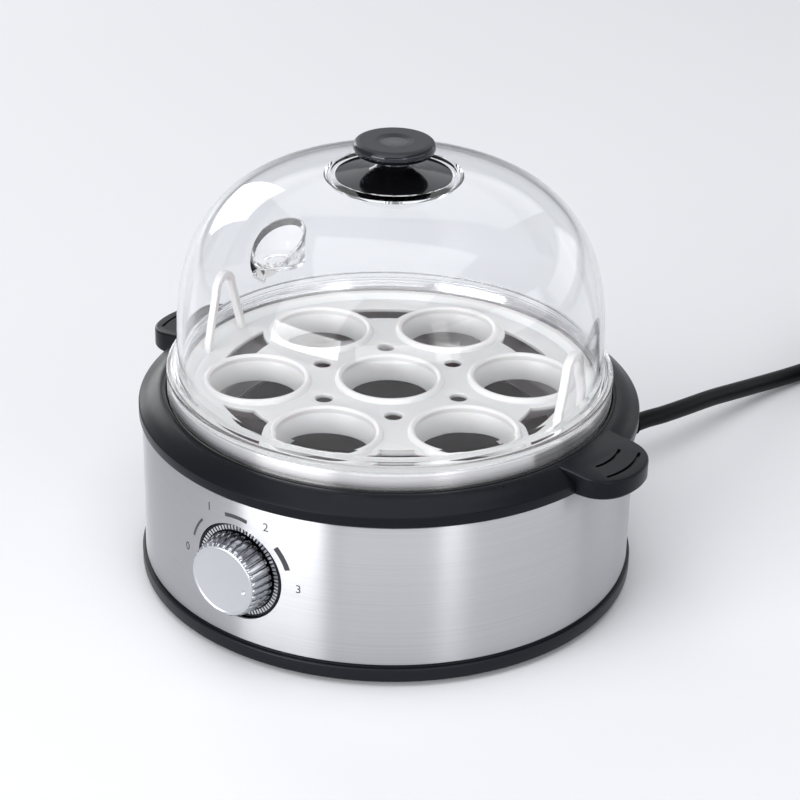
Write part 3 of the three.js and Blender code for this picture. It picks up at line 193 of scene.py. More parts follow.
def meshed(name, verts, edges=(), faces=()):
    """An object in the scene with a mesh of these points, edges and faces."""
    mesh = bpy.data.meshes.new(name)
    mesh.from_pydata(verts, edges, faces)
    return placed(name, mesh)


def solid(name, parts):
    """One object out of parts in millimetres, welded, with its faces outwards."""
    verts, faces = [], []
    for part_verts, part_faces in parts:
        faces += [[i + len(verts) for i in face] for face in part_faces]
        verts += part_verts
    made = meshed(name, metres(verts), faces=faces)
    outwards(made.data, WELD * MM)
    return made

# %% Cut a piece, and give it its finish and its body
def mesh_now(source):
    """A plain mesh of what an object looks like at present."""
    bpy.context.view_layer.update()
    graph = bpy.context.evaluated_depsgraph_get()
    return bpy.data.meshes.new_from_object(source.evaluated_get(graph))


def baked(made):
    """The object with its modifiers carried out, as one plain mesh."""
    mesh = mesh_now(made)
    made.modifiers.clear()
    made.data = mesh
    return made


def carved(made, tool):
    """Cuts a tool's shape out of a piece and throws the tool away."""
    change = made.modifiers.new("carve", "BOOLEAN")
    change.operation = "DIFFERENCE"
    change.solver = "EXACT"
    change.object = tool
    baked(made)
    bpy.data.objects.remove(tool)


def finished(made, material, body, nodes, sharp=34):
    """Gives a piece its finish, shades it smooth up to its edges and fixes it to a body."""
    made.data.materials.clear()
    made.data.materials.append(material)
    made.data.shade_smooth()
    made.data.set_sharp_from_angle(angle=radians(sharp))
    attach(made, body)
    if nodes:
        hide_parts(*nodes)
    print(f"{made.name}: {len(made.data.polygons)} faces, material {material.name}")
    return made

# %% [markdown]
# ## Shapes that follow a rule
# Three shapes here follow a rule, so Geometry Nodes make them and each size is a named input. Feet,
# screws, seats, flutes and ribs repeat round a circle. The lead is one round section along a route. The
# dome is a profile turned about an axis, whose curved parts are a superellipse that the tree works out.

# %% Make nodes and link them
def fill(made, *first, **named):
    """Sets a node's inputs, in order or by name. A node or an output is linked, the rest are values."""
    pairs = [*zip(made.inputs, first)]
    pairs += [(made.inputs[label.replace("_", " ")], value) for label, value in named.items()]
    for socket, value in pairs:
        value = value.outputs[0] if isinstance(value, bpy.types.Node) else value
        if isinstance(value, bpy.types.NodeSocket):
            made.id_data.links.new(value, socket)
        else:
            socket.default_value = value
    return made


def node_in(tree, kind, *first, **named):
    return fill(tree.nodes.new(kind), *first, **named)


def maths_in(tree, operation, a, b=0.0):
    made = node_in(tree, "ShaderNodeMath", a, b)
    made.operation = operation
    return made.outputs[0]

# %% Start a tree, end it and run it
def new_tree(name, **inputs):
    """An empty tree with named inputs: the tree, its input sockets, and shorthands for nodes and sums."""
    tree = bpy.data.node_groups.new(name, "GeometryNodeTree")
    for label, kind in inputs.items():
        tree.interface.new_socket(label.replace("_", " "), in_out="INPUT",
                                  socket_type="NodeSocket" + kind)
    tree.interface.new_socket("Result", in_out="OUTPUT", socket_type="NodeSocketGeometry")
    return tree, tree.nodes.new("NodeGroupInput").outputs, partial(node_in, tree), partial(maths_in, tree)


def end_tree(tree, geometry, finish_input):
    real = node_in(tree, "GeometryNodeRealizeInstances", geometry)
    paint = node_in(tree, "GeometryNodeSetMaterial", Geometry=real, Material=finish_input)
    node_in(tree, "NodeGroupOutput", paint)
    return tree


def grown(made, tree, **values):
    """Runs a tree on an object and keeps the result as one plain mesh, with its faces outwards."""
    change = made.modifiers.new(tree.name, "NODES")
    change.node_group = tree
    for item in tree.interface.items_tree:
        if item.in_out == "INPUT" and item.name.replace(" ", "_") in values:
            change[item.identifier] = values[item.name.replace(" ", "_")]
    outwards(baked(made).data)
    return made

# %% A ring of copies
def ring_tree():
    tree, given, node, maths = new_tree("ring_of_copies", Copy="Geometry", Count="Int", Radius="Float",
                                        First_Angle="Float", Centre_Y="Float", Finish="Material")
    share = maths("DIVIDE", node("GeometryNodeInputIndex"), given["Count"])
    angle = maths("ADD", maths("MULTIPLY", share, 2 * pi), given["First Angle"])
    x, y = (maths("MULTIPLY", maths(wave, angle), given["Radius"]) for wave in ("COSINE", "SINE"))
    place = node("ShaderNodeCombineXYZ", x, maths("ADD", y, given["Centre Y"]))
    turn = node("ShaderNodeCombineXYZ", Z=angle)
    points = node("GeometryNodePoints", Count=given["Count"], Position=place)
    copies = node("GeometryNodeInstanceOnPoints", Points=points, Instance=given["Copy"], Rotation=turn)
    return end_tree(tree, copies, given["Finish"])


RING_TREE = ring_tree()
print(RING_TREE.name, "has", len(RING_TREE.nodes), "nodes")


def ring_of(name, parts, count, radius, first, material):
    """Copies of parts round a circle. The parts are drawn as if the circle's centre were the origin."""
    made = solid(name, [shifted(part, y=-AXIS_Y) for part in parts])
    return grown(made, RING_TREE, Count=count, Radius=radius * MM, First_Angle=radians(first),
                 Centre_Y=AXIS_Y * MM, Finish=material)

# %% A round section along a route
def sweep_tree():
    tree, given, node, _ = new_tree("section_along_route", Route="Geometry", Radius="Float", Sides="Int",
                                    Finish="Material")
    curve = node("GeometryNodeMeshToCurve", Mesh=given["Route"])
    section = node("GeometryNodeCurvePrimitiveCircle", Resolution=given["Sides"], Radius=given["Radius"])
    tube = node("GeometryNodeCurveToMesh", Curve=curve, Profile_Curve=section, Fill_Caps=True)
    return end_tree(tree, tube, given["Finish"])


def along_route(name, points, radius, sides, material):
    """A tube along points in millimetres."""
    route = meshed(name, metres(points), [(i, i + 1) for i in range(len(points) - 1)])
    return grown(route, sweep_tree(), Radius=radius * MM, Sides=sides, Finish=material)

# %% [markdown]
# ## Finishes
# A finish is colour, roughness and relief together. Each one here starts from the same small tree: a
# noise that follows the object's own coordinates shifts the colour and the roughness a little, and a
# finer noise gives the relief. The noise can be stretched, which turns grain into brushing.

# %% Build a finish
def new_material(name):
    """A new material, its tree, the shader in it, and the object's own coordinates."""
    material = bpy.data.materials.new(name)
    material.use_nodes = True
    tree = material.node_tree
    coords = tree.nodes.new("ShaderNodeTexCoord").outputs["Object"]
    return material, tree, tree.nodes["Principled BSDF"], coords


def varied(tree, noise, colours, roughs):
    """Lets a noise move the shader's colour and its roughness between two values each."""
    tint = node_in(tree, "ShaderNodeMix", noise)
    tint.data_type = "RGBA"
    for socket, colour in zip(tint.inputs[6:8], colours):
        socket.default_value = (*colour, 1)
    rough = node_in(tree, "ShaderNodeMapRange", Value=noise, To_Min=roughs[0], To_Max=roughs[1])
    fill(tree.nodes["Principled BSDF"], Base_Color=tint.outputs[2], Roughness=rough)


def finish(name, colour, roughness, metallic=0.0, grain=900.0, stretch=(1, 1, 1), shade=0.05,
           swing=0.04, relief=4e-6, relief_grain=3500.0, **sockets):
    """A procedural material. The constants in sockets go on the shader's own sockets."""
    material, tree, shader, coords = new_material(name)
    material.diffuse_color = (*colour, 1)
    scaled = node_in(tree, "ShaderNodeMapping", Vector=coords, Scale=stretch)
    noise = node_in(tree, "ShaderNodeTexNoise", Vector=scaled, Scale=grain, Detail=4)
    fine = node_in(tree, "ShaderNodeTexNoise", Vector=scaled, Scale=relief_grain)
    bump = node_in(tree, "ShaderNodeBump", Height=fine, Distance=relief)
    fill(shader, Metallic=metallic, Normal=bump, **sockets)
    dark, light = [c * (1 - shade) for c in colour], [min(1, c * (1 + shade)) for c in colour]
    varied(tree, noise, (dark, light), (max(0.0, roughness - swing), roughness + swing))
    return material

# %% [markdown]
# ## The mains lead
# A lead is a fixed length of something that bends. It leaves the base low at the back through a ribbed
# sleeve, droops to the surface in a long easy curve, and the length that isn't needed is wound in a
# flat coil of two layers. One tube follows the whole route, so it has one skin from sleeve to plug.

# %% The coil, and a smooth path through points
CORD_RADIUS = 3.6
CORD_DEGREES = -17.5
CORD_TURN = radians(CORD_DEGREES)
EXIT_HEIGHT = 17
RELIEF_END = 127.1
COIL_CENTRE = (108.7, 256.6)
COIL_INNER, COIL_PITCH, COIL_TURNS = 30.0, 8.1, 3.5
LAYER = 7.9
LOW = 3.8


def coil_points(per_turn=48):
    points = []
    for i in range(int(COIL_TURNS * per_turn) + 1):
        turn = i / per_turn
        radius = COIL_INNER + COIL_PITCH * abs(turn - COIL_TURNS / 2)
        climb = max(0, min(1, (turn - COIL_TURNS / 2 + 0.25) * 2))
        angle = pi - turn * 2 * pi
        points.append(Vector((COIL_CENTRE[0] + radius * cos(angle),
                              COIL_CENTRE[1] + radius * sin(angle), LOW + LAYER * climb)))
    return points


def smooth_path(points, spacing=3.0):
    """Centripetal Catmull-Rom curve through the points, in even short steps."""
    points = [points[0] * 2 - points[1], *points, points[-1] * 2 - points[-2]]
    out = []
    for p0, p1, p2, p3 in zip(points, points[1:], points[2:], points[3:]):
        t = [0.0]
        for a, b in ((p0, p1), (p1, p2), (p2, p3)):
            t.append(t[-1] + max(1e-4, (b - a).length) ** 0.5)
        count = max(1, round((p2 - p1).length / spacing))
        for k in range(count):
            s = t[1] + (t[2] - t[1]) * k / count

            def mix(a, b, i, j):
                return a * ((t[j] - s) / (t[j] - t[i])) + b * ((s - t[i]) / (t[j] - t[i]))

            a1, a2, a3 = mix(p0, p1, 0, 1), mix(p1, p2, 1, 2), mix(p2, p3, 2, 3)
            out.append(mix(mix(a1, a2, 0, 2), mix(a2, a3, 1, 3), 1, 2))
    return [*out, points[-2]]

# %% Route of the lead
heading = Vector((sin(-CORD_TURN), cos(-CORD_TURN), 0))
exit_point = heading * RELIEF_END + Vector((0, 0, EXIT_HEIGHT))
waypoints = [(43, 136.7, 16.3), (46, 152.8, 14.6), (48.4, 170.7, 12.2), (51.4, 188.3, 9.4),
             (54.5, 206.1, 6.6), (57.3, 219.2, 4.9), (60.9, 232.3, 4), (63.3, 240.5, 3.8)]
coil = coil_points()
straight = Vector((0, -2 * CORD_RADIUS, 0))
free = smooth_path([exit_point, exit_point + heading * 7.5, *(Vector(p) for p in waypoints),
                    coil[0] + straight * 1.6, coil[0] + straight])
route = free + coil + [coil[-1] + straight * k / 3 for k in (1, 2, 3)]

# %% The lead, its plug and its finish
COOL = (0.87, 0.89, 1.0, 1)
lead_black = finish("lead_black", (0.005, 0.005, 0.006), 0.40, grain=60, shade=0.12, swing=0.05,
                    relief=1e-5, relief_grain=1800, Specular_IOR_Level=0.10, Specular_Tint=COOL)
lead = finished(along_route("lead", route, CORD_RADIUS, 20, lead_black), lead_black, "base",
                ("mains_cord", "cord_coil"))


def rounded_ring(half_width, half_height, along, power=0.7, count=48):
    points = []
    for k in range(count):
        c, s = cos(2 * pi * k / count), sin(2 * pi * k / count)
        points.append((half_width * copysign(abs(c) ** power, c), -along,
                       half_height * copysign(abs(s) ** power, s)))
    return points


plug_x = COIL_CENTRE[0] + COIL_INNER + COIL_PITCH * COIL_TURNS / 2
plug_y = COIL_CENTRE[1] - 7.5
plug_z = LOW + LAYER
stations = [(4.4, 4.4, 0, 1), (4.6, 4.6, 0.6, 1), (5.0, 5.0, 8, 1), (5.9, 5.9, 17.4, 1),
            (7.2, 6.8, 18.8, 0.9), (9.9, 8.9, 20.2, 0.8), (12.6, 10.2, 25, 0.75),
            (14.6, 10.8, 31.5, 0.72), (15.8, 11.1, 40, 0.7), (16, 11.2, 46, 0.7),
            (16, 11.2, 51.6, 0.7), (15.7, 10.9, 53, 0.7), (14.9, 10.2, 53.9, 0.7), (13.6, 9, 54, 0.7)]
plug_part = skin([rounded_ring(*station) for station in stations])
plug = finished(solid("plug_body", [shifted(plug_part, plug_x, plug_y, plug_z)]),
                lead_black, "base", ("plug",))

# %% The plug's pins
pin_metal = finish("nickel_pins", (0.72, 0.72, 0.74), 0.22, 1.0, grain=300, relief=2e-6)
to_front = Matrix.Rotation(pi / 2, 4, "X")
pin_profile = eased([(0, 54.3), (2.38, 54.3), (2.38, 73.3), (0, 73.3)], [0, 0.1, 1.1, 0])
pins = [shifted(moved(turned(pin_profile, 32), to_front), plug_x + offset, plug_y, plug_z)
        for offset in (-9.5, 9.5)]
plug_pins = finished(solid("plug_pins", pins), pin_metal, "base",
                     ("plug_pin_left", "plug_pin_right"))

# %% The ribbed sleeve where the lead leaves the base
# Short rings with gaps between them let the sleeve bend without a kink, and it gets thinner outwards.
RIBS, RIB_START, RIB_LENGTH = 7, 95.1, 32
relief = [(0, 85.2), (7.0, 85.2), (7.0, 87.6), (5.5, 87.7), (5.5, 93.1), (7.95, 93.1), (7.95, RIB_START)]
for k in range(RIBS):
    start, width = RIB_START + RIB_LENGTH * k / RIBS, RIB_LENGTH / RIBS
    radius = 6.2 + (4.5 - 6.2) * k / RIBS
    relief += [(radius, start + 0.1), (radius, start + 0.62 * width), (radius * 0.84, start + 0.7 * width),
               (radius * 0.84, start + 0.95 * width)]
relief += [(4.45, 126.9), (4.3, RELIEF_END), (0, RELIEF_END)]
to_back = Matrix.Rotation(-pi / 2, 4, "X")
relief_part = moved(turned(eased(relief, 0.25, arc=2), 48), to_back)
lead_sleeve = finished(solid("lead_sleeve", [shifted(relief_part, z=EXIT_HEIGHT, turn=CORD_DEGREES)]),
                       lead_black, "base", ("strain_relief",))

# %% [markdown]
# ## Floor and light
# A plain pale floor runs out past the picture on every side, and nine lamps stand round the boiler. Two
# in front make the bright patch on the steel and the pale window on the dome. A low one lights the front
# right, one hangs overhead, two stand behind and one on each side for the dome's edges, and a narrow
# strip draws the second streak on the steel. A pale world fills the rest. The camera sees that world
# brighter, by itself, in metal and through clear plastic, as it would a pale studio wall. Nothing is
# lit at that strength: rays that have met a matt surface see the plain world.

# %% Floor
floor_finish = finish("pale_floor", (0.87, 0.88, 0.91), 0.75, grain=3, shade=0.01, swing=0.02, relief=0.0)
HALF_FLOOR = 9.0
corners = [(x * HALF_FLOOR, y * HALF_FLOOR, 0.0) for x, y in ((-1, -1), (1, -1), (1, 1), (-1, 1))]
floor = meshed("floor", corners, faces=[(0, 1, 2, 3)])
floor.data.materials.append(floor_finish)
print("the floor is", 2 * HALF_FLOOR, "m wide")

# %% Lamps
def soft_light(name, azimuth_deg, elevation_deg, distance, width, height, power):
    """A rectangular lamp on a sphere round the boiler, facing it. Azimuth 0 is straight in front."""
    a, e = radians(azimuth_deg), radians(elevation_deg)
    out = Vector((sin(a) * cos(e), -cos(a) * cos(e), sin(e)))
    lamp = bpy.data.lights.new(name, "AREA")
    lamp.shape = "RECTANGLE"
    lamp.size, lamp.size_y = width, height
    lamp.energy = power
    placed(name, lamp).matrix_world = (
        Matrix.Translation(Vector((0, 0, LIT_HEIGHT)) + out * distance)
        @ out.to_track_quat("Z", "Y").to_matrix().to_4x4())


LIT_HEIGHT = 0.08
for lamp in (("front_window", -12, 34, 1.5, 0.95, 1.1, 7), ("low_front", -10, 9, 1.5, 1.0, 0.36, 12),
             ("low_right", 44, 9, 1.7, 1.7, 0.36, 5), ("overhead", 20, 80, 1.7, 1.8, 1.8, 16.5),
             ("back_wall", -150, 36, 1.7, 1.6, 0.9, 3), ("low_back", 155, 12, 1.6, 1.2, 0.4, 1.5),
             ("left_side", -116, 16, 1.7, 0.6, 0.7, 5), ("right_wall", 92, 18, 1.9, 2.6, 0.7, 10),
             ("thin_strip", 62, 16, 1.5, 0.2, 0.8, 1.1)):
    soft_light(*lamp)

# %% World
world = bpy.data.worlds.new("studio")
world.use_nodes = True
direct = maths_in(world.node_tree, "LESS_THAN",
                  world.node_tree.nodes.new("ShaderNodeLightPath").outputs["Diffuse Depth"], 0.5)
glow = node_in(world.node_tree, "ShaderNodeMapRange", Value=direct, To_Min=0.2, To_Max=0.6)
fill(world.node_tree.nodes["Background"], Color=(0.90, 0.92, 0.96, 1), Strength=glow)
bpy.context.scene.world = world
bpy.context.scene.view_settings.view_transform = "Standard"
print("world:", world.name, "view transform:", bpy.context.scene.view_settings.view_transform)

# %% [markdown]
# ## Base
# The lowest piece is a moulded pan of black plastic. Only its band shows under the steel, but its floor
# carries air slots, four rubber feet and the heads of the four screws that close the housing.

# %% A plate with holes
def part_of_curve(curve):
    """Vertices and faces of a filled curve or a text."""
    source = placed(curve.name, curve)
    mesh = mesh_now(source)
    bpy.data.objects.remove(source)
    part = [tuple(v.co) for v in mesh.vertices], [tuple(p.vertices) for p in mesh.polygons]
    bpy.data.meshes.remove(mesh)
    return part


def plate(name, outline, holes, low, high, edge):
    """A flat plate with holes, cut from a filled curve whose bevel rounds every edge."""
    curve = bpy.data.curves.new(name, "CURVE")
    curve.dimensions = "2D"
    curve.fill_mode = "BOTH"
    curve.extrude = (high - low) / 2 - edge
    curve.bevel_depth = edge
    curve.bevel_resolution = 2
    for path, inset in [(outline, edge)] + [(hole, 0) for hole in holes]:
        spline = curve.splines.new("POLY")
        spline.points.add(len(path) - 1)
        for point, (x, y) in zip(spline.points, path):
            point.co = (x, y, 0, 1)
        spline.use_cyclic_u = True
    verts, faces = part_of_curve(curve)
    return [(x, y, z + (low + high) / 2) for x, y, z in verts], faces


def polar(radius, angle):
    """The point at a radius and at an angle in degrees."""
    return radius * cos(radians(angle)), radius * sin(radians(angle))


def arc(cx, cy, radius, start, end, count=12):
    """Points on an arc, in degrees."""
    spots = [polar(radius, start + (end - start) * k / count) for k in range(count + 1)]
    return [(cx + x, cy + y) for x, y in spots]


def circle(cx, cy, radius, count):
    return arc(cx, cy, radius, 0, 360, count)[:-1]


def turn_path(path, angle):
    c, s = polar(1, angle)
    return [(x * c - y * s, x * s + y * c) for x, y in path]

# %% Base pan
base_black = finish("satin_black_base", (0.005, 0.005, 0.007), 0.36, grain=500, shade=0.10, swing=0.05,
                    relief=6e-6, relief_grain=2600, Specular_IOR_Level=0.22, Specular_Tint=COOL)
slot_path = arc(20, 0, 1.6, 90, 270, 8) + arc(38, 0, 1.6, -90, 90, 8)
vents = [turn_path(slot_path, 18 + 36 * k) for k in range(10)]
base_floor = plate("base_floor", circle(0, 0, 87, 120), vents, 2.0, 4.5, 0.3)
base_wall = ringed([(84, 2.0), (92.75, 2.0), (92.75, 7.5), (91.2, 7.5), (91.2, 8.2), (90.4, 8.2),
                    (90.4, 10.8), (88.6, 10.8), (88.6, 4.5), (84, 4.5)],
                   [0, 0.9, 0.9, 0.2, 0.1, 0.1, 0.3, 0.3, 0.3, 0], 256)
finished(solid("base_pan", [base_floor, base_wall]), base_black, "base", ("base_cover",))

# %% Feet and screws
foot_rubber = finish("foot_rubber", (0.018, 0.018, 0.018), 0.78, shade=0.15, relief=1e-5)
foot_part = turned(eased([(0, 0.02), (5.9, 0.02), (5.95, 2.7), (0, 2.7)], [0, 0.6, 0.1, 0]), 40)
FOOT_AT = 46.7
feet = ring_of("rubber_feet", [foot_part], 4, hypot(FOOT_AT, FOOT_AT), 45, foot_rubber)
finished(feet, foot_rubber, "base", [f"rubber_foot_{k}" for k in (1, 2, 3, 4)])
plain_steel = finish("zinc_steel", (0.55, 0.56, 0.58), 0.35, 1.0, grain=700, relief=3e-6)
head_profile = [(0, 2.35), (2.3, 2.35), (2.85, 2.75), (2.85, 3.45), (1.4, 3.45), (1.4, 12.4), (0, 12.4)]
head = turned(eased(head_profile, [0, 0.2, 0.2, 0.1, 0, 0.2, 0]), 28)
POST_CIRCLE = 84
post_spots = [polar(POST_CIRCLE, 45 + 90 * k) for k in range(4)]
screws = ring_of("base_screws", [head], 4, POST_CIRCLE, 45, plain_steel)
arm, half = 1.4, 0.28
plus = [(arm, half), (half, half), (half, arm)]
for quarter in range(3):
    plus += [(-y, x) for x, y in plus[-3:]]
cross = skin([[(x, y, 1.9) for x, y in plus], [(x, y, 3.0) for x, y in plus]])
carved(screws, solid("cross_tool", [shifted(cross, x, y) for x, y in post_spots]))
finished(screws, plain_steel, "base", [f"base_screw_{k}" for k in (1, 2, 3, 4)])

# %% [markdown]
# ## Steel band
# The steel is rolled from one thin sheet and brushed round the band. Brushing is thousands of fine
# scratches that run one way: noise stretched along the band gives their look, and an anisotropic
# shader spreads each highlight upwards, square to them, as the real scratches do.

# %% Brushed steel
def brushed(name, colour, roughness, anisotropy, streak=(9, 9, 2600)):
    material = finish(name, colour, roughness, 1.0, grain=1.0, stretch=streak, shade=0.12, swing=0.07,
                      relief=2.5e-6, relief_grain=1.4, Anisotropic=anisotropy, Anisotropic_Rotation=0.25)
    nodes = material.node_tree.nodes
    tangent = nodes.new("ShaderNodeTangent")
    tangent.direction_type = "RADIAL"
    tangent.axis = "Z"
    fill(nodes["Principled BSDF"], Tangent=tangent)
    return material


band_steel = brushed("brushed_band", (0.50, 0.50, 0.52), 0.34, 1.0)
DIAL_Z = 35.5
BAND_R = 91.5
sleeve = solid("steel_band", [flat_ring(90.7, BAND_R, 8.5, 63.5, 0.25, 360, 3)])
dial_window = shifted(moved(rod(18.4, 60, 100, 96), to_front), z=DIAL_Z)
cord_window = shifted(moved(rod(5.8, 60, 100, 48), to_back), z=EXIT_HEIGHT, turn=CORD_DEGREES)
carved(sleeve, solid("window_tools", [dial_window, cord_window]))
finished(sleeve, band_steel, "base", ("steel_sleeve",))

# %% [markdown]
# ## Top ring with its handles
# One moulding closes the steel and carries the pan. Its top slopes gently outwards, and two tabs grow
# out of it as handles, with two curved grooves each for grip. The ring is turned, and each handle is a
# stack of outlines whose upper edge is rounded in small steps.

# %% Outline of one handle
REACH = 106.6


def handle_outline(half=16.8):
    ends = [Vector(p) for p in ((94, -half), (REACH - half * 0.3, -half * 0.98),
                                (REACH, -half * 0.62), (REACH, 0))]
    lower = []
    for t in (k / 16 for k in range(17)):
        p = (ends[0] * (1 - t) ** 3 + ends[1] * 3 * t * (1 - t) ** 2
             + ends[2] * 3 * t ** 2 * (1 - t) + ends[3] * t ** 3)
        lower.append((p.x, p.y))
    upper = [(x, -y) for x, y in reversed(lower[:-1])]
    return [(84, -half), (89, -half), *lower, *upper, (89, half), (84, half)]


def inset(path, distance):
    """Moves a closed outline inwards along its own normals, except its root at the ring."""
    out = []
    for i, (x, y) in enumerate(path):
        before, after = Vector(path[i - 1]), Vector(path[(i + 1) % len(path)])
        along = (after - before).normalized()
        inward = Vector((-along.y, along.x))
        out.append((x, y) if x < 85 else (x + inward.x * distance, y + inward.y * distance))
    return out


print("the two handles measure", 2 * REACH, "mm across")

# %% The ring
ring_black = finish("satin_black_ring", (0.003, 0.0035, 0.005), 0.30, grain=420, shade=0.10, swing=0.06,
                    relief=7e-6, relief_grain=2400, Specular_IOR_Level=0.17, Specular_Tint=COOL)
LIP, SLOPE_END, RING_TOP, TILT = 83.8, 91.9, 72.8, 0.1


def slope(radius):
    share = (radius - LIP) / (SLOPE_END - LIP)
    return RING_TOP - 4.5 * (0.45 * share + 0.55 * share * share)


ring_profile = [(SLOPE_END, 63.8), (92.6, 64.3), (92.6, 67.85), (92.2, 68.25)]
on_slope = [LIP + (SLOPE_END - LIP) * share for share in (0.9, 0.75, 0.6, 0.4, 0.25, 0.1)]
ring_profile += [(radius, slope(radius)) for radius in on_slope]
ring_profile += [(LIP, 72.55), (83.4, 72.3), (83.1, 72.75), (82.6, 72.75), (82.5, 72.3), (82.5, 71.2),
                 (77.0, 71.2), (77.0, 68.7), (83.8, 68.7), (88.3, 66.6), (88.6, 58.0), (90.4, 58.0),
                 (90.4, 63.8)]
ring_turn = [0.3, 0.25, 0.12, 0.12, *[0] * 6, 0.12, 0.1, 0.15, 0.15, 0.1, *[0.3] * 5, 0.4, 0.4, 0.1]
top_ring = solid("handle_ring", [ringed(ring_profile, ring_turn, 256, 3)])
finished(top_ring, ring_black, "base", ("top_ring",))

# %% The handles with their grooves and pockets
def handle_part():
    """Two rings make the underside, and the others the upper edge, each with its drop from the top."""
    outline = handle_outline()
    rings = [[(x, y, z) for x, y in inset(outline, by)] for by, z in ((0.3, 63.8), (0.0, 64.3))]
    for distance, drop in ((0.0, 0.95), (0.07, 0.6), (0.22, 0.3), (0.5, 0.08), (0.9, 0.0)):
        path = inset(outline, distance)
        rings.append([(x, y, RING_TOP - drop - TILT * max(0, x - LIP)) for x, y in path])
    return skin(rings)


def groove_tool(middle, half_angle, centre_x=70):
    """A curved bar that cuts a groove 1.1 mm wide and 1 mm deep, bent about a point inside the ring."""
    turns = [half_angle * (k / 8 - 1) for k in range(17)]
    edge = [(centre_x + radius * cos(a), radius * sin(a))
            for radius, way in ((middle - 0.55, 1), (middle + 0.55, -1)) for a in turns[::way]]
    return skin([[(x, y, RING_TOP - 1.0 - TILT * (x - LIP)) for x, y in edge],
                 [(x, y, 80) for x, y in edge]])


handles = solid("handles", [handle_part(), shifted(handle_part(), turn=180)])
grooves = [groove_tool(25, 0.33), groove_tool(32, 0.36)]
carved(handles, solid("groove_tool", grooves + [shifted(tool, turn=180) for tool in grooves]))
pocket = [(x, y) for x, y in inset(handle_outline(), 2.4) if x > 92]
pocket_tool = skin([[(x, y, 60) for x, y in pocket], [(x, y, 67.5) for x, y in pocket]])
carved(handles, solid("pocket_tool", [pocket_tool, shifted(pocket_tool, turn=180)]))
carved(handles, solid("bore_tool", [rod(LIP + 0.2, 60, 80, 160)]))
posts = solid("posts", [shifted(rod(4, 4.8, 69, 32), x, y) for x, y in post_spots])
finished(handles, ring_black, "base", (), sharp=28)
finished(posts, ring_black, "base", ())

# %% [markdown]
# ## Water pan, plate and seals
# The pan is pressed steel. Its tall rim shows between the black ring and the lid, and its floor meets
# the heating plate, which has a dark coat so that water beads and scale wipes off.

# %% Pan
pan_steel = brushed("satin_pan", (0.74, 0.73, 0.74), 0.24, 1.0, streak=(6, 6, 1500))
pan_profile = [(82, 78.2), (82, 72.3), (76.3, 72.3), (73.9, 56), (69.9, 52), (63.2, 52), (63.2, 52.8),
               (69.9, 52.8), (73.1, 56), (75.5, 73.1), (81.2, 73.1), (81.2, 78.2), (81.3, 78.9),
               (81.6, 79.0), (81.9, 78.9)]
pan_turn = [0.2, 0.4, 0.9, 2, 2, 0.1, 0.1, 2, 2, 0.9, 0.6, 0.2, 0, 0, 0]
pan = solid("steel_pan", [ringed(pan_profile, pan_turn, 256, 3)])
finished(pan, pan_steel, "base", ("water_pan",))

# %% Heating plate and seals
plate_coat = finish("dark_plate_coat", (0.035, 0.026, 0.024), 0.40, 0.3, grain=260, shade=0.25, swing=0.08,
                    relief=1e-5, relief_grain=1500)
plate_profile = [(0, 51.7), (44, 51.97), (60, 52.55), (62.2, 52.6), (62.6, 52.1), (62.6, 50.6),
                 (67, 50.6), (67, 48), (0, 48)]
studs = [shifted(rod(2, 30, 48.5, 24), x=x) for x in (-26, 26)]
hot_plate = solid("hot_plate", [turned(eased(plate_profile, 0.4), 160), *studs])
finished(hot_plate, plate_coat, "base", ("heating_plate",))
seal_grey = finish("silicone_seal", (0.62, 0.61, 0.58), 0.6, grain=300, relief=6e-6)
for name, part, cad_name in (("plate_seal_ring", flat_ring(63.3, 66.1, 50.92, 51.68, 0.35), "plate_seal"),
                             ("pan_gasket", flat_ring(77.6, 81.8, 71.5, 72.0, 0.2), "pan_seal")):
    finished(solid(name, [part]), seal_grey, "base", (cad_name,))

# %% [markdown]
# ## Seat tray
# This is the piece that takes the most skill: one milky moulding with seven round seats, six curved
# openings that let the steam up, and two loops to lift it by. The plate is cut from a filled curve, so
# its edges come out rounded, and each seat is a turned collar that widens upwards.

# %% Outlines of the tray's openings
TRAY_TURN = 8.0
SEAT_PITCH, STEAM_CLEAR, LOOP_AT = 49.0, 22.0, 71.5


def steam_outline(inner=54.5, outer=64.4):
    """The curved opening between two seats and the rim: bounded by two seat arcs and two rim arcs."""
    cx, cy = polar(SEAT_PITCH, 30)

    def meets(radius):
        cosine = (radius ** 2 + SEAT_PITCH ** 2 - STEAM_CLEAR ** 2) / (2 * radius * SEAT_PITCH)
        return 30 - degrees(acos(cosine))

    def about_seat(radius, angle):
        x, y = polar(radius, angle)
        return degrees(atan2(y - cy, x - cx)) % 360

    a_out, a_in = meets(outer), meets(inner)
    flank = arc(cx, cy, STEAM_CLEAR, about_seat(outer, a_out), about_seat(inner, a_in), 10)[1:]
    path = arc(0, 0, outer, -a_out, a_out, 10) + flank
    path += arc(0, 0, inner, a_in, -a_in, 4)[1:-1]
    return path + [(x, -y) for x, y in reversed(flank)]


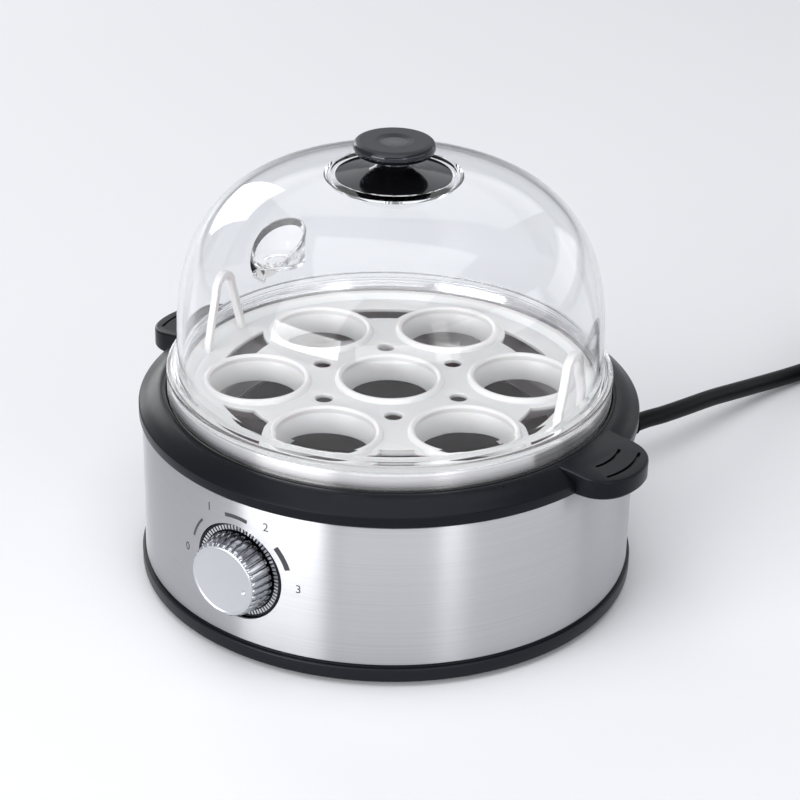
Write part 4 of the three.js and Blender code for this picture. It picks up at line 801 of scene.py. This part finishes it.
def loop_part():
    """A finger loop: an arch with flared feet, as two rounded outlines joined through its thickness."""
    def outline(foot, crown_half, base=73.0, crown=95.4):
        left = [(-foot - 1.2, base), (-foot - 0.2, base + 1.6), (-foot + 0.2, base + 4)]
        arch = arc(0, crown, crown_half, 180, 0, 16)
        return left + arch + [(-x, z) for x, z in reversed(left)]

    rings = []
    for inset_by, depth in ((0.7, -1.5), (0.2, -1.3), (0, -0.8), (0, 0.8), (0.2, 1.3), (0.7, 1.5)):
        out_side, in_side = [], []
        for (x, z), (ix, iz) in zip(outline(13.8, 7), outline(10.9, 4.1)):
            pull = Vector((ix - x, iz - z)).normalized() * inset_by
            out_side.append((LOOP_AT + depth, x + pull.x, z + pull.y))
            in_side.append((LOOP_AT + depth, ix - pull.x, iz - pull.y))
        rings.append(out_side + in_side[::-1])
    return skin(rings)


print("a steam opening has", len(steam_outline()), "points, a finger loop", len(loop_part()[0]))

# %% Build the tray
tray_milk = finish("milky_tray", (0.80, 0.785, 0.78), 0.34, grain=200, shade=0.02, relief=3e-6,
                   Subsurface_Weight=0.12, Subsurface_Scale=0.004)
seats = [(0, 0)] + [polar(SEAT_PITCH, 30 + 60 * k) for k in range(6)]
holes = [circle(x, y, 18.8, 48) for x, y in seats]
holes += [turn_path(steam_outline(), 60 * k) for k in range(6)]
holes += [turn_path(circle(28.3, 0, 3.7, 20), 60 * k) for k in range(6)]
tray_plate = plate("tray_plate", circle(0, 0, 74.6, 160), holes, 72.2, 74.0, 0.4)
rim = ringed([(72.6, 72.3), (74.4, 72.3), (74.9, 73.45), (78.1, 73.45), (78.1, 75.75), (75.4, 75.75),
              (72.6, 74.0)], [0.2, 0.3, 0.3, 0.3, 0.7, 0.9, 0.6], 256)
collar = ringed([(15.3, 66.05), (16.6, 66.05), (19.4, 72.0), (20.3, 74.0), (19.6, 75.8), (18.6, 76.0),
                 (17.6, 75.2), (17.8, 73.4)], [0.5, 0.4, 0.5, 1.2, 0.8, 0.7, 0.6, 0.6], 72, 3)
tray_parts = [tray_plate, rim, loop_part(), shifted(loop_part(), turn=180), collar]
tray = solid("seven_seat_tray", [shifted(part, turn=TRAY_TURN) for part in tray_parts])
finished(tray, tray_milk, "tray", ("seat_tray",))
outer_seats = ring_of("outer_seats", [collar], 6, SEAT_PITCH, 30 + TRAY_TURN, tray_milk)
finished(outer_seats, tray_milk, "tray", ())

# %% [markdown]
# ## Dome
# The lid is blown thin and clear, so its look is all outline and reflection. Its profile is nearly
# upright low down and rounds over in one sweep, which a superellipse follows with a single exponent.
# The steam outlet is an upright cup sunk in the shoulder, with a hole in its floor. Its tight corners
# catch so much light that it reads whiter than the wall, so that light is painted in as a milkier finish.

# %% Clear plastic
def clear_plastic(name, colour, roughness=0.02, ior=1.5, clearness=1.0):
    """Clear plastic. Light that only lights what is behind isn't bent, and so is counted just once."""
    material, tree, shader, coords = new_material(name)
    fill(shader, Transmission_Weight=clearness, IOR=ior)
    noise = node_in(tree, "ShaderNodeTexNoise", Vector=coords, Scale=25)
    varied(tree, noise, ([c * 0.985 for c in colour], colour), (roughness * 0.5, roughness * 1.5))
    path = tree.nodes.new("ShaderNodeLightPath").outputs
    straight = maths_in(tree, "MAXIMUM", path["Is Shadow Ray"], path["Is Diffuse Ray"])
    through = node_in(tree, "ShaderNodeBsdfTransparent", Color=(0.96, 0.965, 0.97, 1))
    mix = node_in(tree, "ShaderNodeMixShader", straight, shader, through)
    fill(tree.nodes["Material Output"], Surface=mix)
    return material

# %% The dome's rule
DOME_R, DOME_H, SPRING, POWER, WALL = 78.2, 70.6, 86.4, 2.93, 2.2


def dome_point(t, wall=0):
    """Radius and height at a turn t of the superellipse: 0 at the widest place, a quarter turn on top."""
    across, up = cos(t) ** (2 / POWER), sin(t) ** (2 / POWER)
    return (DOME_R - wall) * across, SPRING + (DOME_H - wall) * up


def dome_turn(radius, wall=0):
    return acos((radius / (DOME_R - wall)) ** (POWER / 2))


def dome_height(radius):
    return dome_point(dome_turn(radius))[1]


print("the dome is", 2 * DOME_R, "mm across and its top", SPRING + DOME_H, "mm up")

# %% A tree that turns the dome
def turned_rule_tree():
    """Turns a profile about the axis. Its points hold radius, kind and height; a point of kind 1 or 2
    lies on the outer or the inner superellipse instead, and its first value is the turn along it."""
    sizes = {size: "Float" for size in ("Radius", "Height", "Spring", "Exponent", "Wall", "Centre_Y")}
    tree, given, node, maths = new_tree("turned_superellipse", Profile="Geometry", Points="Int",
                                        Steps="Int", **sizes, Finish="Material")
    steps, count = given["Steps"], given["Points"]
    grid = node("GeometryNodeMeshGrid", Size_X=steps, Size_Y=count, Vertices_X=maths("ADD", steps, 1),
                Vertices_Y=maths("ADD", count, 1))
    at = node("GeometryNodeInputPosition")
    cell = node("ShaderNodeSeparateXYZ", at).outputs
    column = maths("ADD", cell[0], maths("DIVIDE", steps, 2))
    row = maths("ROUND", maths("ADD", cell[1], maths("DIVIDE", count, 2)))
    pick = node("GeometryNodeSampleIndex")
    pick.data_type = "FLOAT_VECTOR"
    fill(pick, Geometry=given["Profile"], Value=at, Index=maths("MODULO", row, count))
    along, kind, high = node("ShaderNodeSeparateXYZ", pick).outputs
    wall = maths("MULTIPLY", given["Wall"], maths("GREATER_THAN", kind, 1.5))
    ruled = maths("GREATER_THAN", kind, 0.5)
    power = maths("DIVIDE", 2, given["Exponent"])

    def on_curve(wave, size, start, plain):
        swing = maths("POWER", maths(wave, along), power)
        value = maths("ADD", start, maths("MULTIPLY", maths("SUBTRACT", size, wall), swing))
        return maths("ADD", plain, maths("MULTIPLY", ruled, maths("SUBTRACT", value, plain)))

    radius = on_curve("COSINE", given["Radius"], 0.0, along)
    angle = maths("MULTIPLY", maths("DIVIDE", column, steps), 2 * pi)
    x, y = (maths("MULTIPLY", radius, maths(wave, angle)) for wave in ("COSINE", "SINE"))
    put = node("ShaderNodeCombineXYZ", x, maths("ADD", y, given["Centre Y"]),
               on_curve("SINE", given["Height"], given["Spring"], high))
    place = node("GeometryNodeSetPosition", Geometry=grid, Position=put)
    merge = node("GeometryNodeMergeByDistance", Geometry=place, Distance=1e-6)
    return end_tree(tree, merge, given["Finish"])

# %% The dome, from recess to foot and back
# A blow-moulded lid is one skin, so the profile runs down the outside, round the foot and up inside.
clear_dome = clear_plastic("clear_dome_plastic", (0.975, 0.98, 0.99), ior=1.36)
LOW_TURN, OUT_TURN, IN_TURN = 0.02, dome_turn(22.4), dome_turn(24.8, WALL)
foot = eased([dome_point(LOW_TURN), (78.2, 84.0), (79.2, 83.4), (80.3, 83.0), (80.3, 81.3), (82.2, 81.3),
              (82.2, 79.3), (80.3, 79.3), (80.3, 76.3), (78.7, 76.3), (78.7, 79.3), (76.2, 83.0),
              (76.0, 85.0), dome_point(LOW_TURN, WALL)],
             [0, 0.6, 0.5, 0.5, 0.4, 0.6, 0.5, 0.3, 0.5, 0.5, 0.4, 1.0, 0.5, 0], arc=3)
recess = eased([dome_point(IN_TURN, WALL), (23.6, 152.37), (2.3, 152.37), (2.3, 154.57), (21.4, 154.57),
                (21.8, 154.8), dome_point(OUT_TURN)], [0, 0.8, 0, 0, 0.3, 0.5, 0], arc=3)
OUT_COUNT, IN_COUNT = 46, 40
stations = [(OUT_TURN + (LOW_TURN - OUT_TURN) * k / OUT_COUNT, 1, 0) for k in range(OUT_COUNT + 1)]
stations += [(r * MM, 0, z * MM) for r, z in foot[1:-1]]
stations += [(LOW_TURN + (IN_TURN - LOW_TURN) * k / IN_COUNT, 2, 0) for k in range(IN_COUNT + 1)]
stations += [(r * MM, 0, z * MM) for r, z in recess[1:-1]]
dome = meshed("clear_dome", stations)
grown(dome, turned_rule_tree(), Points=len(stations), Steps=256, Radius=DOME_R * MM, Height=DOME_H * MM,
      Spring=SPRING * MM, Exponent=POWER, Wall=WALL * MM, Centre_Y=AXIS_Y * MM, Finish=clear_dome)
print("the dome has", len(dome.data.polygons), "faces")

# %% Steam cup in the dome's shoulder
CUP_AT, CUP_R = 55.8, 9.4
CUP_X, CUP_Y = polar(CUP_AT, -99.3)
cup_floor = dome_height(CUP_AT + CUP_R) + 0.5


def cup_rings(rows, on_dome=False):
    """Rings of a radius and a height above the cup's floor, or above the dome's own surface."""
    rings = []
    for radius, height in rows:
        turns = [2 * pi * k / 72 for k in range(72)]
        spots = [(CUP_X + radius * cos(a), CUP_Y + radius * sin(a)) for a in turns]
        rings.append([(x, y, (dome_height(hypot(x, y)) if on_dome else cup_floor) + height)
                      for x, y in spots])
    return rings


below = cup_rings([(8.0, -1.0), (8.8, -0.85), (9.25, -0.4)])
brim = cup_rings([(CUP_R, -0.2), (9.22, 0.35), (9.05, 0.62), (8.85, 0.72), (8.65, 0.6), (8.52, 0.1)], True)
bowl = cup_rings([(8.45, 0.9), (8.1, 0.25), (7.3, 0), (4.7, 0), (4.4, -0.3), (4.4, -0.9), (4.6, -1.0)])
cup = skin(below + brim + bowl, closed=True)
carved(dome, solid("cup_bore", [shifted(rod(9.2, 128, 170, 72), CUP_X, CUP_Y)]))
finished(dome, clear_dome, "lid", ("lid_dome",), sharp=40)
# Painted sheen: the cup is the dome's plastic, made whiter and less clear for the light its corners catch.
cup_painted_sheen = clear_plastic("clear_cup_plastic", (0.99, 0.99, 1.0), 0.04, 1.16, clearness=0.91)
finished(solid("steam_cup", [cup]), cup_painted_sheen, "lid", (), sharp=40)

# %% [markdown]
# ## Lid knob
# The knob is glossy on its sides and satin on top, where fingers rest. One profile makes the shallow
# cone, the thin neck and the bull-nosed disc with its dish.

# %% Knob
def knob_finish():
    material = finish("knob_black", (0.004, 0.004, 0.005), 0.12, grain=500, shade=0.10, swing=0.03,
                      relief=3e-6, relief_grain=3000, Specular_IOR_Level=0.5, Specular_Tint=COOL)
    tree = material.node_tree
    coords = tree.nodes.new("ShaderNodeTexCoord").outputs["Object"]
    height = node_in(tree, "ShaderNodeSeparateXYZ", coords).outputs["Z"]
    up = node_in(tree, "ShaderNodeMapRange", Value=height, From_Min=0.1672, From_Max=0.1679,
                 To_Min=0.10, To_Max=0.46)
    fill(tree.nodes["Principled BSDF"], Roughness=up)
    return material


knob_profile = [(0, 163.2), (2.3, 163.2), (2.3, 154.87), (20.7, 154.87), (21.0, 155.45), (13.0, 156.8),
                (9.0, 157.7), (6.6, 158.8), (5.4, 160.4), (5.4, 162.0), (6.6, 163.0), (12.0, 163.37),
                (13.9, 163.9), (14.75, 165.4), (14.6, 166.9), (13.7, 167.85), (12.4, 168.25),
                (6.9, 168.2), (4.7, 167.5), (0, 167.3)]
knob_turn = [0, 0.2, 0.2, 0.15, 0.25, 3, 3, 2, 2, 1.0, 0.8, 1.2, 1.2, 1.6, 1.4, 1.4, 1.0, 1.0, 1.5, 0]
lid_knob = solid("lid_grip", [turned(eased(knob_profile, knob_turn, arc=5), 128)])
finished(lid_knob, knob_finish(), "lid", ("lid_knob",), sharp=50)

# %% Screw and washer
washer_clear = clear_plastic("clear_washer_plastic", (0.96, 0.97, 0.98), 0.05)
washer = flat_ring(2.2, 5.95, 151.27, 152.07, 0.2, 64)
finished(solid("lid_washer_ring", [washer]), washer_clear, "lid", ("lid_washer",))
screw_profile = [(0, 148.8), (2.9, 148.8), (4.15, 149.65), (4.15, 150.95), (1.85, 150.95),
                 (1.85, 161.7), (0, 161.7)]
lid_screw = solid("lid_screw_head", [turned(eased(screw_profile, [0, 0.5, 0.4, 0.1, 0, 0.3, 0]), 48)])
finished(lid_screw, plain_steel, "lid", ("lid_screw",))

# %% [markdown]
# ## Dial
# The dial is drawn lying flat, facing up, and then tipped forward. Its flutes repeat round the rim and
# so do the ribs of the clear ring behind it, so both come from the ring of copies. The small dimple
# shows where the dial points.

# %% Dial knob
FLUTES = 32


def facing(made):
    """Tips a piece that was drawn facing up so that it faces the front, and lifts it to the dial."""
    shift = Matrix.Translation((0, AXIS_Y * MM, DIAL_Z * MM))
    made.data.transform(shift @ to_front @ Matrix.Translation((0, -AXIS_Y * MM, 0)))
    return made


knob_silver = finish("satin_silver", (0.56, 0.57, 0.59), 0.30, 1.0, grain=2200, swing=0.05,
                     relief=3e-6, relief_grain=5000)
core_profile = [(0, 97.5), (12, 97.5), (12, 90.5), (13.9, 90.5), (14.25, 90.8), (13.1, 98.3), (13.2, 98.9),
                (13.1, 99.35), (12.7, 99.5), (12.35, 99.45), (12.0, 99.25), (0, 99.15)]
core_turn = [0, 0.3, 0.2, 0.2, 0.3, *[0.1] * 5, 0.2, 0]
core = solid("dial_core", [turned(eased(core_profile, core_turn, arc=2), 160)])
ball = [(1.15 * sin(pi * k / 12), 99.75 - 1.15 * cos(pi * k / 12)) for k in range(13)]
dimple = shifted(turned(ball, 32), *polar(9.3, -10))
carved(core, solid("dimple_tool", [dimple]))
finished(facing(core), knob_silver, "dial", ("dial_knob",), sharp=30)

# %% Its flutes and its hub
def flute_part():
    """One ridge of the rim, from the back to the face: a narrow rounded bar that leans with the side."""
    rings, inner = [], 12.4
    for z, out, half in ((90.6, 14.9, 1.12), (90.8, 15.05, 1.16), (97.9, 14.05, 1.1), (98.6, 13.85, 1.05),
                         (99.2, 13.3, 0.95)):
        rings.append([(inner, -half, z), (out - 0.5, -half, z), (out - 0.12, -half * 0.72, z), (out, 0, z),
                      (out - 0.12, half * 0.72, z), (out - 0.5, half, z), (inner, half, z)])
    return skin(rings)


# The flutes are the same metal as the dial's face; their darker colour is painted shade, for the shade
# that the fluted rim shows.
flute_silver_painted_shade = finish("darker_silver", (0.40, 0.41, 0.44), 0.20, 1.0, grain=2200, shade=0.06,
                      relief=3e-6, relief_grain=5000)
flutes = ring_of("dial_flutes", [flute_part()], FLUTES, 0.0, 0.0, flute_silver_painted_shade)
finished(facing(flutes), flute_silver_painted_shade, "dial", (), sharp=40)
hub = solid("dial_hub", [flat_ring(3.3, 4.9, 89.4, 97.6, 0.2, 32)])
finished(facing(hub), base_black, "dial", ())

# %% Clear ring with ribs, and the black cup behind
ring_clear = clear_plastic("clear_ring_plastic", (0.93, 0.94, 0.96), 0.05)
ring_body = solid("dial_light_ring", [flat_ring(15.5, 17, 86.35, 89.5, 0.15, 144)])
finished(facing(ring_body), ring_clear, "base", ("light_ring",))
rib = skin([[(15.5, -0.38, z), (17.2, -0.42, z), (17.2, 0.42, z), (15.5, 0.38, z)] for z in (86.6, 89.95)])
ring_ribs = ring_of("dial_ring_ribs", [rib], 72, 0.0, 0.0, knob_silver)
finished(facing(ring_ribs), knob_silver, "base", (), sharp=20)
bezel_profile = [(4.85, 84.8), (18.05, 84.8), (18.05, 90.15), (17.35, 90.15), (17.3, 86.0), (4.85, 86.0)]
bezel = solid("dial_cup", [ringed(bezel_profile, [0.1, 0.2, 0.3, 0.3, 0.3, 0.1], 128)])
flange = solid("dial_cup_flange", [flat_ring(17.9, 20.45, 86.8, 88.0, 0.2, 96)])
finished(facing(bezel), base_black, "base", ("dial_bezel",))
finished(facing(flange), base_black, "base", ())

# %% [markdown]
# ## Scale round the dial
# The scale is printed on the steel: three arcs that grow heavier with the cooking time, and plain
# numbers at their ends. Ink has no depth to speak of, so each mark is a thin plate bent to the band.

# %% Print marks on the band
ink = finish("dark_ink", (0.030, 0.030, 0.036), 0.45, grain=600, shade=0.08, relief=0.0)


def on_band(x, z, lift):
    """A point of the flat drawing, laid on the steel band at the front."""
    angle = x / BAND_R
    return (BAND_R + lift) * sin(angle), -(BAND_R + lift) * cos(angle), DIAL_Z + z


def bar_part(middle_deg, half_deg, radius, width):
    """One arc of the scale. Angles run clockwise from the top."""
    rings = []
    for k in range(17):
        a = radians(middle_deg - half_deg + 2 * half_deg * k / 16)
        low, high = radius - width / 2, radius + width / 2
        rings.append([on_band(r * sin(a), r * cos(a), lift)
                      for r, lift in ((low, 0.008), (high, 0.008), (high, 0.05), (low, 0.05))])
    return skin(rings)


def number_part(text, angle_deg, radius=24.9, size=4.6):
    """A plain number as a thin plate, its middle on the scale's circle."""
    curve = bpy.data.curves.new("number", "FONT")
    curve.body = text
    curve.size = size
    curve.align_x = "CENTER"
    curve.align_y = "CENTER"
    curve.extrude = 0.02
    curve.resolution_u = 6
    verts, faces = part_of_curve(curve)
    a = radians(angle_deg)
    middle_x, middle_z = radius * sin(a), radius * cos(a)
    return [on_band(middle_x + x, middle_z + y, 0.03 + z) for x, y, z in verts], faces


marks = [bar_part(-60, 13, 21.9, 0.9), bar_part(0, 12.7, 21.9, 1.5), bar_part(60, 12, 21.9, 2.1)]
marks += [number_part(text, angle) for text, angle in (("0", -90), ("1", -30), ("2", 30), ("3", 90))]
finished(solid("dial_scale", marks), ink, "base", ())

# %% [markdown]
# ## Pieces inside
# The heater, the thermostat, the regulator and the rest stay as the CAD has them: they hardly show, and
# their shapes are right. Each still gets a finish of its own, because the part can be opened.

# %% Finishes for the pieces that stay
ceramic_white = finish("ceramic_white", (0.74, 0.71, 0.64), 0.55, grain=300)
KEPT = {
    "heating_element": finish("dull_sheath", (0.20, 0.185, 0.175), 0.5, 1.0, grain=150, shade=0.25,
                              swing=0.1),
    "thermostat": ceramic_white,
    "terminal_block": ceramic_white,
    "thermal_fuse": finish("fuse_sleeve_finish", (0.70, 0.70, 0.67), 0.7),
    "regulator": finish("moulded_brown", (0.06, 0.045, 0.035), 0.5, grain=400),
    "indicator_lamp": finish("lamp_amber_finish", (0.75, 0.28, 0.05), 0.2, grain=200),
    "cord_clamp": finish("inner_black", (0.03, 0.03, 0.033), 0.55, grain=500),
    "cord_inner": lead_black}
kept = 0
for name, node_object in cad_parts.items():
    if not node_object.hide_render:
        node_object.data.materials.clear()
        node_object.data.materials.append(KEPT.get(name, plain_steel))
        kept += 1
print("CAD nodes that stay:", kept)
